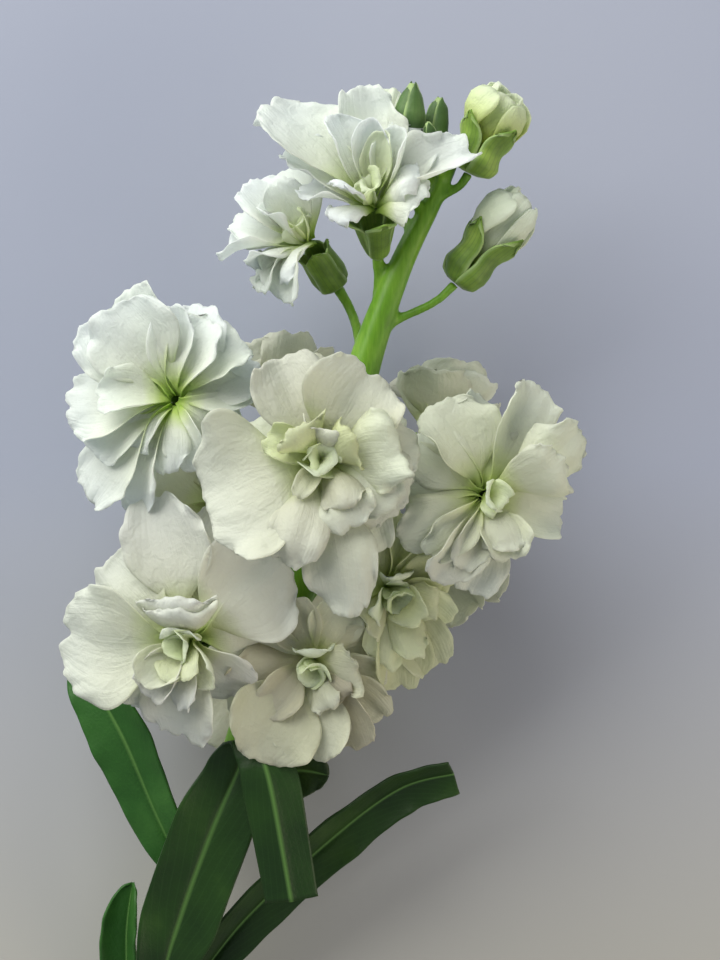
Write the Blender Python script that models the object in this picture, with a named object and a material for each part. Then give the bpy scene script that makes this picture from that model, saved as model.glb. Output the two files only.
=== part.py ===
"""A cut stem of white double stock, Matthiola incana, lying on its back.

Blender units are metres, with +Z up. The stem lies along Y with its flowers towards +Y, and +X
is on the right of someone who looks down on it with the flowers away from them. All numbers
below are millimetres and degrees, until a mesh is made from them.
"""

import math
import random
from typing import NamedTuple

import bmesh
import bpy
from mathutils import Matrix, Vector
from mathutils.geometry import interpolate_bezier, intersect_point_line

MM = 0.001

# The drawing's own origin lies among the flowers. This moves the part so that its footprint is
# centred on X and Y, and its lowest point lies at Z = 0.
ORIGIN = Vector((9.0, 37.0, -1.2))

# The stem from its cut end to its growing tip: x, y, height and radius.
STEM = (
    (-46.0, -150.0, 5.3, 4.2),
    (-41.0, -118.0, 9.5, 4.1),
    (-36.0, -96.0, 15.0, 4.0),
    (-24.0, -54.0, 25.0, 3.8),
    (-14.0, -26.0, 31.5, 3.6),
    (-5.0, -2.0, 36.0, 3.5),
    (1.0, 23.0, 39.0, 3.3),
    (8.0, 42.0, 41.0, 2.4),
    (14.0, 54.0, 42.0, 1.9),
    (18.0, 62.0, 42.5, 1.3),
)
STALK_RADIUS = 1.05

# A calyx is a cup of four sepals, and the core that a bloom's petals share stands in it.
CALYX_LENGTH = 10.5
CALYX_RADIUS = 3.3
CUP_RADIUS = 2.5
CORE_RADIUS = 2.0
CORE_TOP = 1.8
SEAT_GAP = 0.35

# Petals are sheets of this thickness. Pieces keep the clearance between their middles and
# whatever is beside them, and start to bend away from it over the last few millimetres.
PETAL_THICKNESS = 0.62
CLEARANCE = 0.62
BEND_OVER = 1.6
CLAW_WIDTH = 1.5

# Each petal is turned a little round its middle, so that it lies over the next one like a tile.
ROLL = 14.0

# The border between two blooms leans by this much, so that the higher one overhangs the lower.
OVERLAP = 1.7


class Petal(NamedTuple):
    """One petal. Clock is the way that its tip points, seen from above: 0 is +X and 90 is +Y."""

    clock: float
    reach: float  # from the bloom's centre to the tip, seen from above
    rise: float  # how far the tip is above the centre
    width: float
    curl: float = 20.0  # how far the tip bends back, or in if it is negative
    cup: float = 25.0  # how far the sides stand up, or fold back if it is negative
    twist: float = 0.0


class Bloom(NamedTuple):
    """A flower on its stalk: its centre, the way that it faces and where it leaves the stem."""

    centre: tuple
    facing: tuple
    leaves_stem: float
    weight: float
    petals: tuple = ()


BLOOMS = {
    "centre": Bloom((-7.2, 3.4, 56.0), (0.02, 0.08, 1.0), -9.0, 24.0, (
        Petal(112, 21.5, 1.0, 17.0, 15, 20),
        Petal(62, 20.0, 2.0, 20.0, 20, 30),
        Petal(201, 23.0, 1.0, 30.0, 25, 15),
        Petal(9, 18.5, -1.0, 12.0, 20, 20),
        Petal(-28, 16.0, 4.0, 13.0, 60, -20),
        Petal(-81, 29.0, 1.0, 13.0, 30, -15),
        Petal(255, 19.0, 2.0, 9.0, 30, -30),
        Petal(-62, 10.0, 8.0, 10.0, 70, -40),
        Petal(70, 6.0, 8.5, 12.0, 70, -30),
    )),
    "left": Bloom((-35.4, 15.2, 45.0), (-0.5, 0.3, 0.8), 0.0, 20.0, (
        Petal(113, 24.5, -1.0, 13.0, 0, 25),
        Petal(140, 24.5, -3.0, 12.0, 5, 25),
        Petal(92, 18.5, 4.0, 10.0, -10, 35, 20),
        Petal(50, 18.0, 1.0, 19.0, 20, 30),
        Petal(5, 15.0, 1.0, 9.0, 20, 20),
        Petal(183, 22.0, -5.0, 18.0, 15, 20),
        Petal(178, 15.5, 4.0, 12.0, 10, 30),
        Petal(226, 26.5, -6.0, 18.0, 15, 10),
        Petal(248, 24.0, -3.0, 13.0, 20, 15),
        Petal(262, 14.5, 5.0, 10.0, 30, -40),
    )),
    "right": Bloom((23.4, -3.0, 48.0), (0.45, -0.1, 0.88), -9.0, 20.0, (
        Petal(118, 20.0, 2.0, 17.0, 20, 20),
        Petal(65, 24.0, -2.0, 11.0, 10, 30),
        Petal(32, 23.0, 4.0, 15.0, 50, -30),
        Petal(-15, 17.0, -4.0, 10.0, 20, 30),
        Petal(-68, 13.5, 4.0, 11.0, 20, 30),
        Petal(208, 18.5, 5.0, 12.0, 40, -35),
        Petal(240, 19.0, 3.0, 9.0, 20, 30),
        Petal(262, 19.0, -1.0, 12.0, 20, 20),
        Petal(160, 18.0, -5.0, 13.0, 10, 20),
    )),
    "lower_left": Bloom((-32.6, -30.4, 46.0), (-0.3, -0.25, 0.92), -50.0, 21.0, (
        Petal(178, 25.5, -1.0, 25.0, 30, 25),
        Petal(103, 28.8, 0.6, 19.0, 10, 20),
        Petal(42, 23.0, -1.0, 24.0, 10, 20),
        Petal(115, 7.0, 9.0, 17.0, 80, -50),
        Petal(236, 14.0, 4.0, 12.0, 10, 50),
        Petal(266, 14.0, 5.0, 8.0, 20, 30, 30),
        Petal(264, 21.0, -3.0, 17.0, 20, 20),
        Petal(221, 19.0, -5.0, 9.0, 10, 20),
        Petal(320, 15.0, 0.0, 13.0, 20, 20),
    )),
    "bottom": Bloom((-9.0, -35.0, 40.0), (0.0, -0.45, 0.89), -52.0, 19.0, (
        Petal(196, 17.5, 4.0, 14.0, 40, -20),
        Petal(238, 23.0, 4.0, 20.0, 20, 30),
        Petal(268, 20.0, 3.0, 17.0, 20, 30),
        Petal(225, 15.0, 5.0, 10.0, 20, 30),
        Petal(-13, 9.5, 8.0, 11.0, 60, -30),
        Petal(-60, 20.0, 1.0, 11.0, 10, 35),
        Petal(-40, 18.5, -3.0, 9.0, 10, 20),
        Petal(115, 13.0, 4.0, 12.0, 20, 30),
    )),
    "lower_right": Bloom((4.6, -21.0, 39.5), (0.5, -0.4, 0.77), -38.0, 18.0, (
        Petal(-8, 13.0, -1.0, 13.0, 20, 20),
        Petal(-32, 15.5, -2.0, 12.0, 20, 20),
        Petal(-57, 20.0, -4.0, 12.0, 20, 20),
        Petal(-79, 21.5, -3.0, 11.0, 10, 20),
        Petal(256, 10.0, 6.0, 10.0, 30, -20),
        Petal(75, 15.0, 0.0, 13.0, 30, 20),
        Petal(22, 13.5, 0.0, 13.0, 30, 20),
        Petal(-40, 10.0, 7.0, 9.0, 30, 30),
    )),
    "top": Bloom((2.6, 51.5, 50.0), (-0.08, 0.72, 0.69), 21.0, 21.0, (
        Petal(134, 29.5, -1.0, 22.0, 5, 10),
        Petal(148, 21.0, 1.0, 9.0, 10, 20),
        Petal(95, 25.0, -3.0, 10.0, -10, 30),
        Petal(114, 19.5, 3.0, 8.0, 0, 40),
        Petal(160, 8.0, 9.0, 10.0, 80, -50),
        Petal(94, 16.5, 6.0, 11.0, -30, 50),
        Petal(72, 16.0, 5.0, 10.0, -20, 50),
        Petal(39, 11.0, 7.5, 11.5, 45, -45),
        Petal(32, 23.0, 1.0, 10.0, 10, 35),
    )),
    "upper_left": Bloom((-10.0, 46.5, 38.0), (-0.5, 0.7, 0.5), 19.0, 17.0, (
        Petal(135, 18.0, 0.0, 13.0, 20, 20),
        Petal(106, 16.5, -3.0, 12.0, 20, 20),
        Petal(188, 18.5, 0.0, 12.0, 20, 25),
        Petal(240, 10.0, 7.0, 9.0, 50, -30),
        Petal(254, 13.0, 5.0, 11.0, 40, 20),
        Petal(215, 13.0, -6.0, 12.0, 20, 20),
        Petal(150, 12.0, 6.0, 9.0, 20, 30),
    )),
    "upper_back_left": Bloom((-14.0, 12.0, 23.0), (-0.25, 0.85, -0.5), -20.0, 16.0, (
        Petal(118, 19.0, 3.0, 14.0, 10, 25),
        Petal(62, 17.0, 4.0, 12.0, 10, 25),
        Petal(150, 17.0, -6.0, 14.0, 20, 20),
        Petal(100, 17.0, -18.0, 15.0, 10, 20),
        Petal(50, 13.0, -16.0, 14.0, 20, 20),
        Petal(80, 8.0, -22.0, 15.0, 10, 25),
    )),
    "upper_back_right": Bloom((15.0, 9.0, 24.0), (0.35, 0.8, -0.5), -18.0, 16.0, (
        Petal(88, 14.0, 6.0, 16.0, 10, 20),
        Petal(45, 17.0, 3.0, 13.0, 10, 25),
        Petal(0, 15.0, -5.0, 14.0, 20, 20),
        Petal(125, 13.0, -14.0, 14.0, 20, 20),
        Petal(60, 17.0, -16.0, 14.0, 10, 20),
        Petal(40, 8.0, -23.0, 15.0, 10, 25),
    )),
    "back_left": Bloom((-29.0, -6.0, 18.0), (-0.8, 0.15, -0.5), -28.0, 18.0),
    "back_centre": Bloom((-8.0, -14.0, 12.0), (0.05, 0.15, -1.0), -40.0, 17.0),
    "back_right": Bloom((15.0, -13.0, 18.5), (0.8, 0.0, -0.6), -32.0, 18.0),
    "back_bottom": Bloom((-24.0, -40.0, 12.0), (-0.25, -0.35, -0.9), -62.0, 17.0),
}

# Where two neighbours share the room between them otherwise than halfway: a point on their
# border, and the way from it into the first one's room.
BORDERS = {
    ("centre", "left"): ((-24.0, 12.0, 52.0), (0.72, -0.5, 0.48)),
    ("centre", "bottom"): ((-4.0, -23.5, 50.0), (0.0, 0.72, 0.69)),
    ("centre", "lower_right"): ((6.0, -14.0, 46.0), (-0.35, 0.5, 0.79)),
    ("lower_left", "bottom"): ((-17.3, -31.7, 44.0), (-0.66, 0.66, 0.36)),
    ("bottom", "lower_right"): ((4.5, -34.0, 40.0), (-0.85, -0.3, 0.42)),
    ("left", "lower_left"): ((-39.0, -4.0, 44.0), (-0.3, 0.75, -0.59)),
}

# A bloom that has no petals of its own above has rings of them, in its own frame: how many, how
# far out and how far up their tips are, and their width, curl and cup.
RINGS = (
    (5, 18.5, 6.0, 18.0, 20.0, 20.0),
    (2, 9.0, 11.0, 12.0, 20.0, 30.0),
)


class Bud(NamedTuple):
    """A bud on its stalk: its base, its tip, its radius and where it leaves the stem."""

    base: tuple
    tip: tuple
    radius: float
    leaves_stem: float


CLOSED_BUDS = {
    "tall": Bud((8.5, 62.5, 46.0), (10.3, 76.4, 49.0), 3.1, 50.0),
    "middle": Bud((13.8, 63.6, 42.6), (15.6, 74.6, 44.6), 2.5, 55.0),
    "small": Bud((14.5, 62.5, 47.5), (12.9, 68.3, 51.0), 1.4, 58.0),
}
OPEN_BUDS = {
    "yellow": Bud((21.2, 60.0, 44.6), (28.2, 74.2, 48.8), 5.4, 54.0),
    "side": Bud((18.8, 38.9, 41.0), (31.8, 54.7, 44.0), 5.0, 28.0),
    "hidden": Bud((5.5, 62.0, 38.0), (6.5, 76.5, 37.0), 3.6, 46.0),
}


class Leaf(NamedTuple):
    """A strap leaf: points along its midrib, and half its width at each."""

    midrib: tuple
    half_widths: tuple
    across: tuple  # from its left edge to its right one, seen with its foot at the bottom
    fold: float  # how far its sides stand up, in degrees


LEAVES = {
    "left": Leaf(
        ((-35.0, -85.5, 21.9), (-42.0, -70.0, 24.5), (-48.6, -54.0, 25.5), (-55.0, -42.0, 24.5),
         (-57.6, -33.0, 22.5)),
        (2.6, 6.0, 7.2, 6.0, 1.5), (0.8, 0.45, 0.35), 14.0),
    "arch": Leaf(
        ((-41.2, -119.0, 13.95), (-40.6, -103.0, 23.5), (-36.6, -89.0, 27.5), (-30.0, -71.0, 31.6),
         (-25.0, -59.5, 33.0), (-22.4, -53.6, 35.2), (-20.8, -51.6, 38.6), (-19.4, -54.0, 41.8),
         (-17.2, -61.5, 42.4), (-13.6, -83.7, 38.0)),
        (2.6, 6.0, 8.2, 8.3, 6.6, 5.4, 5.0, 4.9, 5.8, 5.4), (1.0, -0.1, 0.0), 12.0),
    "right": Leaf(
        ((-36.1, -108.5, 16.7), (-24.0, -92.0, 21.5), (-6.0, -74.0, 27.0), (8.0, -63.0, 30.0),
         (19.0, -59.5, 32.0)),
        (2.8, 5.6, 6.0, 5.2, 4.4), (0.55, -0.7, -0.35), 24.0),
    "round": Leaf(
        ((-27.7, -68.0, 26.4), (-20.0, -62.0, 29.5), (-13.0, -59.0, 31.5), (-6.5, -59.8, 32.0)),
        (2.5, 5.0, 5.8, 3.4), (0.35, -0.9, 0.0), 12.0),
    "low": Leaf(
        ((-45.0, -130.0, 12.0), (-49.5, -114.0, 11.5), (-50.0, -98.0, 13.5), (-48.5, -86.0, 15.0)),
        (2.4, 4.4, 5.6, 3.8), (0.9, 0.15, 0.35), 42.0),
}
LEAF_THICKNESS = 0.7
RIB_DEPTH = 0.7

WHITE = ("petal white", (0.83, 0.86, 0.76, 1.0), 0.55)
CALYX_GREEN = ("sepal green", (0.18, 0.33, 0.10, 1.0), 0.6)
STEM_GREEN = ("stem green", (0.20, 0.38, 0.08, 1.0), 0.5)
LEAF_GREEN = ("leaf green", (0.03, 0.10, 0.025, 1.0), 0.5)


def material(name, colour, roughness):
    found = bpy.data.materials.get(name)
    if found:
        return found
    made = bpy.data.materials.new(name)
    made.use_nodes = True
    made.diffuse_color = colour
    shader = made.node_tree.nodes["Principled BSDF"]
    shader.inputs["Base Color"].default_value = colour
    shader.inputs["Roughness"].default_value = roughness
    shader.inputs["Metallic"].default_value = 0.0
    return made


def add_object(name, bm, finish, collection=None):
    """Move a mesh from the drawing to the part's place, in metres, and name it."""
    bmesh.ops.translate(bm, verts=bm.verts, vec=ORIGIN)
    bmesh.ops.scale(bm, verts=bm.verts, vec=Vector((MM, MM, MM)))
    bmesh.ops.recalc_face_normals(bm, faces=bm.faces)
    mesh = bpy.data.meshes.new(name)
    bm.to_mesh(mesh)
    bm.free()
    mesh.materials.append(material(*finish))
    mesh.shade_smooth()
    made = bpy.data.objects.new(name, mesh)
    (collection or bpy.context.scene.collection).objects.link(made)
    return made


def fill_pockets(mesh):
    """Keep the outer skin alone, so that what crossing petals close off becomes solid."""
    bm = bmesh.new()
    bm.from_mesh(mesh)
    skins = []
    unseen = set(bm.faces)
    while unseen:
        skin = {unseen.pop()}
        front = list(skin)
        while front:
            for edge in front.pop().edges:
                for face in edge.link_faces:
                    if face in unseen:
                        unseen.remove(face)
                        skin.add(face)
                        front.append(face)
        skins.append(skin)
    skins.sort(key=lambda skin: sum(face.calc_area() for face in skin))
    inner = [face for skin in skins[:-1] for face in skin]
    bmesh.ops.delete(bm, geom=inner, context="FACES")
    bm.to_mesh(mesh)
    bm.free()


def fuse(name, pieces, finish, solver="MANIFOLD"):
    """Join closed meshes that cross each other into one body, with one Boolean union."""
    group = bpy.data.collections.new(name)
    bpy.context.scene.collection.children.link(group)
    first = add_object(name, pieces[0], finish)
    for piece in pieces[1:]:
        add_object(name + "_piece", piece, finish, group)
    union = first.modifiers.new("union", "BOOLEAN")
    union.operation = "UNION"
    union.solver = solver
    union.operand_type = "COLLECTION"
    union.collection = group
    bpy.context.view_layer.update()
    evaluated = first.evaluated_get(bpy.context.evaluated_depsgraph_get())
    mesh = bpy.data.meshes.new_from_object(evaluated)
    first.modifiers.clear()
    fill_pockets(mesh)
    first.data = mesh
    mesh.shade_smooth()
    for piece in list(group.objects):
        bpy.data.objects.remove(piece)
    bpy.data.collections.remove(group)
    return first


def frame_of(axis):
    """Two directions square to an axis and to each other."""
    across = axis.cross(Vector((0.3, -0.8, 0.5))).normalized()
    return across, axis.cross(across)


def around(axis, angle):
    first, second = frame_of(axis)
    return first * math.cos(angle) + second * math.sin(angle)


def tube(points, radii, sides):
    """A closed tube along a line of points."""
    bm = bmesh.new()
    rings = []
    previous = None
    for index, point in enumerate(points):
        ahead = points[min(index + 1, len(points) - 1)]
        behind = points[max(index - 1, 0)]
        tangent = (ahead - behind).normalized()
        if previous is None:
            across, _ = frame_of(tangent)
        else:
            across = (previous - tangent * previous.dot(tangent)).normalized()
        previous = across
        other = tangent.cross(across)
        ring = []
        for side in range(sides):
            turn = 2 * math.pi * side / sides
            offset = across * math.cos(turn) + other * math.sin(turn)
            ring.append(bm.verts.new(point + offset * radii[index]))
        rings.append(ring)
    for lower, upper in zip(rings, rings[1:]):
        for side in range(sides):
            after = (side + 1) % sides
            bm.faces.new((lower[side], lower[after], upper[after], upper[side]))
    bm.faces.new(rings[0])
    bm.faces.new(rings[-1])
    bmesh.ops.triangulate(bm, faces=bm.faces)
    return bm


def stem_at(y):
    """The stem's middle and its direction where it passes y."""
    for lower, upper in zip(STEM, STEM[1:]):
        if y <= upper[1] or upper is STEM[-1]:
            start = Vector(lower[:3])
            end = Vector(upper[:3])
            share = (y - lower[1]) / (upper[1] - lower[1])
            return start.lerp(end, share), (end - start).normalized()


def stalk_points(leaves_stem, base, facing, count=4):
    """The middle of a stalk, from inside the stem to the base of its bloom or bud."""
    start, along = stem_at(leaves_stem)
    end = base - facing * SEAT_GAP
    seat = end - facing * 0.8
    pull = (seat - start).length * 0.4
    out = ((seat - start).normalized() + along).normalized()
    line = interpolate_bezier(start, start + out * pull, seat - facing * pull, seat, count)
    return line + [end]


def calyx_base(bloom):
    return Vector(bloom.centre) - Vector(bloom.facing).normalized() * CALYX_LENGTH


def head_of(bloom):
    return Vector(bloom.centre) + Vector(bloom.facing).normalized() * 5.0


def capsules():
    """The stem, the stalks, the calyces and the buds, each as two ends and a radius."""
    found = {}
    found["stem"] = [
        (Vector(lower[:3]), Vector(upper[:3]), lower[3]) for lower, upper in zip(STEM, STEM[1:])
    ]
    for name, bloom in BLOOMS.items():
        facing = Vector(bloom.facing).normalized()
        base = calyx_base(bloom)
        line = stalk_points(bloom.leaves_stem, base, facing)
        pieces = [(lower, upper, STALK_RADIUS) for lower, upper in zip(line, line[1:])]
        found[name] = pieces + [(base + facing * 3.0, Vector(bloom.centre) - facing * 4.0, 3.7)]
    for name, bud in (CLOSED_BUDS | OPEN_BUDS).items():
        base = Vector(bud.base)
        tip = Vector(bud.tip)
        facing = (tip - base).normalized()
        line = stalk_points(bud.leaves_stem, base, facing)
        pieces = [(lower, upper, STALK_RADIUS) for lower, upper in zip(line, line[1:])]
        inset = facing * bud.radius
        found["bud_" + name] = pieces + [(base + inset, tip - inset, bud.radius + 0.4)]
    return found


def cell_of(name):
    """The room that a bloom's petals have, as planes: a point on each and the way into the room."""
    bloom = BLOOMS[name]
    head = head_of(bloom)
    facing = Vector(bloom.facing).normalized()
    table = Vector((0, 0, PETAL_THICKNESS / 2 - CLEARANCE))
    planes = [(table, Vector((0, 0, 1))), (Vector(bloom.centre), facing)]
    for other_name, other in BLOOMS.items():
        if other_name == name:
            continue
        if (name, other_name) in BORDERS:
            origin, inward = BORDERS[name, other_name]
            planes.append((Vector(origin), Vector(inward).normalized()))
            continue
        if (other_name, name) in BORDERS:
            origin, inward = BORDERS[other_name, name]
            planes.append((Vector(origin), -Vector(inward).normalized()))
            continue
        away = head - head_of(other)
        share = bloom.weight / (bloom.weight + other.weight)
        leaning = Vector((away.x, away.y, away.z * OVERLAP)).normalized()
        planes.append((head - away * share, leaning))
    for owner, pieces in capsules().items():
        for start, end, radius in pieces:
            nearest, share = intersect_point_line(head, start, end)
            nearest = start.lerp(end, min(max(share, 0.0), 1.0))
            away = (head - nearest).normalized()
            planes.append((nearest + away * radius, away))
    return planes


def bend_clear(point, planes):
    """Bend a point back into its room. It slows down before it reaches a plane."""
    for _ in range(6):
        for origin, inward in planes:
            depth = (point - origin).dot(inward) - CLEARANCE
            if depth < BEND_OVER:
                eased = BEND_OVER * math.exp((depth - BEND_OVER) / BEND_OVER)
                point = point + inward * (eased - depth)
    return point


def petal_width(along, width):
    """Half the width of a petal, from its narrow claw to its broad end."""
    claw = CLAW_WIDTH / 2
    if along < 0.6:
        rise = max(0.0, (along - 0.1) / 0.5)
        return claw + (width / 2 - claw) * rise * rise * (3 - 2 * rise)
    return width / 2 * (1 - 0.2 * ((along - 0.6) / 0.4) ** 2)


def petal_rows(root, tip, axis, petal, seed, rows, columns):
    """A petal as rows of points, from its claw to its tip."""
    chance = random.Random(seed)
    phases = [chance.uniform(0, 2 * math.pi) for _ in range(4)]
    sway = chance.uniform(-1.0, 1.0)
    span = tip - root
    outward = (span - axis * span.dot(axis)).normalized()
    side = axis.cross(outward)
    opening = (axis * 0.75 + outward * 0.65).normalized()
    closing = Matrix.Rotation(math.radians(petal.curl), 3, side) @ span.normalized()
    pull = span.length * 0.36
    rib = interpolate_bezier(root, root + opening * pull, tip - closing * pull, tip, 41)
    found = []
    for row in range(rows + 1):
        along = (row / rows) ** 0.85
        half = petal_width(along, petal.width)
        line = []
        for column in range(columns + 1):
            across = 2 * column / columns - 1
            place = along * (1 - 0.2 * across * across) * 40
            low = min(int(place), 39)
            point = rib[low].lerp(rib[low + 1], place - low)
            tangent = (rib[low + 1] - rib[low]).normalized()
            turn = Matrix.Rotation(math.radians(ROLL + petal.twist * along), 3, tangent)
            lateral = turn @ side
            up = turn @ tangent.cross(side)
            stand = math.radians(petal.cup) * abs(across)
            ripple = math.sin(phases[0] + 5.5 * along) * across * across
            ripple += math.sin(phases[1] + 2.6 * across) * along ** 3 * 0.8
            lift = half * abs(across) * math.sin(stand) + ripple * petal.width * 0.075
            shift = half * across * math.cos(stand)
            shift += sway * petal.width * 0.06 * math.sin(math.pi * along)
            line.append(point + lateral * shift + up * lift)
        found.append(line)
    return found


def sheet(rows, thickness, rib=0.0):
    """A closed blade around a grid of points, with both faces cut alike and a rib underneath."""
    bm = bmesh.new()
    grid = [[bm.verts.new(point) for point in row] for row in rows]
    for lower, upper in zip(grid, grid[1:]):
        for column in range(len(lower) - 1):
            a, b = lower[column], lower[column + 1]
            c, d = upper[column + 1], upper[column]
            if (a.co - c.co).length < (b.co - d.co).length:
                bm.faces.new((a, b, c))
                bm.faces.new((a, c, d))
            else:
                bm.faces.new((a, b, d))
                bm.faces.new((b, c, d))
    bm.normal_update()
    over = {vert: vert.co + vert.normal * thickness / 2 for vert in bm.verts}
    under = {vert: vert.co - vert.normal * thickness / 2 for vert in bm.verts}
    for row in grid[1:-1]:
        middle = row[len(row) // 2]
        under[middle] -= middle.normal * rib
    rim = [loop for edge in bm.edges if edge.is_boundary for loop in edge.link_loops]
    faces = [[corner for corner in face.verts] for face in bm.faces]
    closed = bmesh.new()
    above = {vert: closed.verts.new(place) for vert, place in over.items()}
    below = {vert: closed.verts.new(place) for vert, place in under.items()}
    for corners in faces:
        closed.faces.new([above[vert] for vert in corners])
        closed.faces.new([below[vert] for vert in reversed(corners)])
    for loop in rim:
        start, end = loop.vert, loop.link_loop_next.vert
        closed.faces.new((above[end], above[start], below[start], below[end]))
    bm.free()
    bmesh.ops.triangulate(closed, faces=[face for face in closed.faces if len(face.verts) > 3])
    return closed


def petal_tips(bloom):
    """Every petal of a bloom with the point that its tip reaches."""
    centre = Vector(bloom.centre)
    axis = Vector(bloom.facing).normalized()
    found = []
    for petal in bloom.petals:
        clock = math.radians(petal.clock)
        reach = Vector((math.cos(clock), math.sin(clock), 0)) * petal.reach
        found.append((petal, centre + reach + Vector((0, 0, petal.rise))))
    if not bloom.petals:
        for ring, (count, reach, rise, width, curl, cup) in enumerate(RINGS):
            for index in range(count):
                turn = 2 * math.pi * (index + 0.5 * ring) / count + 0.4
                tip = centre + around(axis, turn) * reach + axis * rise
                found.append((Petal(0, reach, rise, width, curl, cup), tip))
    return found


def roots_of(bloom, tips):
    """Where each petal stands on the core: evenly spread, in the order of the tips around it."""
    centre = Vector(bloom.centre)
    axis = Vector(bloom.facing).normalized()
    first, second = frame_of(axis)
    tiers = ([], [])
    for index, (petal, tip) in enumerate(tips):
        offset = tip - centre
        turn = math.atan2(offset.dot(second), offset.dot(first))
        out = (offset - axis * offset.dot(axis)).length
        tiers[0 if out > 11.5 else 1].append((turn, index))
    roots = {}
    for tier, members in enumerate(tiers):
        members.sort()
        count = len(members)
        spread = [turn - 2 * math.pi * place / count for place, (turn, _) in enumerate(members)]
        start = math.atan2(sum(map(math.sin, spread)), sum(map(math.cos, spread)))
        for place, (_, index) in enumerate(members):
            turn = start + 2 * math.pi * place / count
            out = CORE_RADIUS - (0.75 if tier == 0 else 1.3)
            up = 0.75 if tier == 0 else CORE_TOP - 0.5
            roots[index] = centre + around(axis, turn) * out + axis * up
    return roots


def bloom_petals(name, rows=3, columns=2):
    """The petals of a bloom and the core that they share."""
    bloom = BLOOMS[name]
    centre = Vector(bloom.centre)
    axis = Vector(bloom.facing).normalized()
    planes = cell_of(name)
    bottom = centre - axis * (CALYX_LENGTH - 3.4 - SEAT_GAP)
    top = centre + axis * CORE_TOP
    pieces = [tube([bottom, top], [CORE_RADIUS, CORE_RADIUS], 8)]
    tips = petal_tips(bloom)
    roots = roots_of(bloom, tips)
    for index, (petal, tip) in enumerate(tips):
        points = petal_rows(roots[index], tip, axis, petal, f"{name} {index}", rows, columns)
        cleared = [points[0]]
        for row, line in enumerate(points[1:], 1):
            share = min(1.0, row / rows * 2.5)
            cleared.append([point.lerp(bend_clear(point, planes), share) for point in line])
        pieces.append(sheet(cleared, PETAL_THICKNESS))
    return pieces


def cup_mesh(base, axis, length, radius, inner, floor, flare=0.0, tip=1.6):
    """Four sepals joined in a cup, with pouched bases and pointed tips."""
    bm = bmesh.new()
    outer = ((0.0, 0.36), (0.09, 0.84), (0.35, 1.04), (0.8, 0.92), (1.0, 0.96 + flare))
    rings = []
    for share, wide in outer:
        ring = []
        for step in range(8):
            sepal = 1.0 if step % 2 == 0 else 0.0
            swell = 1.0 + (0.12 if sepal else -0.05) * math.sin(math.pi * min(share * 1.6, 1.0))
            height = share * length + (tip * (sepal - 0.7) if share == 1.0 else 0.0)
            out = around(axis, math.pi * step / 4) * radius * wide * swell
            ring.append(bm.verts.new(base + axis * height + out))
        rings.append(ring)
    for share in (1.0, floor / length):
        ring = []
        for step in range(8):
            sepal = 1.0 if step % 2 == 0 else 0.0
            height = share * length + (tip * (sepal - 0.7) - 0.25 if share == 1.0 else 0.0)
            wide = inner * (1.0 + flare) if share == 1.0 else inner
            ring.append(bm.verts.new(base + axis * height + around(axis, math.pi * step / 4) * wide))
        rings.append(ring)
    for lower, upper in zip(rings, rings[1:]):
        for step in range(8):
            after = (step + 1) % 8
            bm.faces.new((lower[step], lower[after], upper[after], upper[step]))
    bm.faces.new(rings[0])
    bm.faces.new(rings[-1])
    bmesh.ops.triangulate(bm, faces=bm.faces)
    return bm


def bud_mesh(bud):
    """A closed bud: four sepals pressed together, ridged, with a blunt tip."""
    base = Vector(bud.base)
    tip = Vector(bud.tip)
    axis = (tip - base).normalized()
    length = (tip - base).length
    bm = bmesh.new()
    rings = []
    for share, wide in ((0.0, 0.36), (0.08, 0.78), (0.3, 1.0), (0.6, 0.9), (0.85, 0.6), (0.97, 0.3)):
        ring = []
        for step in range(8):
            ridge = 1.06 if step % 2 == 0 else 0.94
            out = around(axis, math.pi * step / 4) * bud.radius * wide * ridge
            ring.append(bm.verts.new(base + axis * share * length + out))
        rings.append(ring)
    for lower, upper in zip(rings, rings[1:]):
        for step in range(8):
            after = (step + 1) % 8
            bm.faces.new((lower[step], lower[after], upper[after], upper[step]))
    bm.faces.new(rings[0])
    end = bm.verts.new(tip)
    for step in range(8):
        bm.faces.new((rings[-1][step], rings[-1][(step + 1) % 8], end))
    bmesh.ops.triangulate(bm, faces=bm.faces)
    return bm


def wrapped_petals(bud, cup_share):
    """Petals that are still wrapped round each other, standing in the cup of a half-open bud."""
    base = Vector(bud.base)
    tip = Vector(bud.tip)
    axis = (tip - base).normalized()
    length = (tip - base).length
    bm = bmesh.new()
    rings = []
    stations = (
        (0.2, 0.4), (cup_share, 0.46), (cup_share + 0.1, 0.82), (0.8, 1.0), (0.92, 0.86), (1.0, 0.5),
    )
    for share, wide in stations:
        ring = []
        for step in range(10):
            ridge = 1.0 + (0.16 if step % 2 == 0 else -0.08) * share
            turn = math.pi * step / 5 + share * 1.2
            height = share * length + (0.08 * length * math.sin(3.1 * step) if wide == 0.5 else 0.0)
            height += SEAT_GAP if share == 0.2 else 0.0
            ring.append(bm.verts.new(base + axis * height + around(axis, turn) * bud.radius * wide * ridge))
        rings.append(ring)
    for lower, upper in zip(rings, rings[1:]):
        for step in range(10):
            after = (step + 1) % 10
            bm.faces.new((lower[step], lower[after], upper[after], upper[step]))
    bm.faces.new(rings[0])
    hollow = bm.verts.new(base + axis * length * 0.88)
    for step in range(10):
        bm.faces.new((rings[-1][step], rings[-1][(step + 1) % 10], hollow))
    bmesh.ops.triangulate(bm, faces=bm.faces)
    return bm


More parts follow.
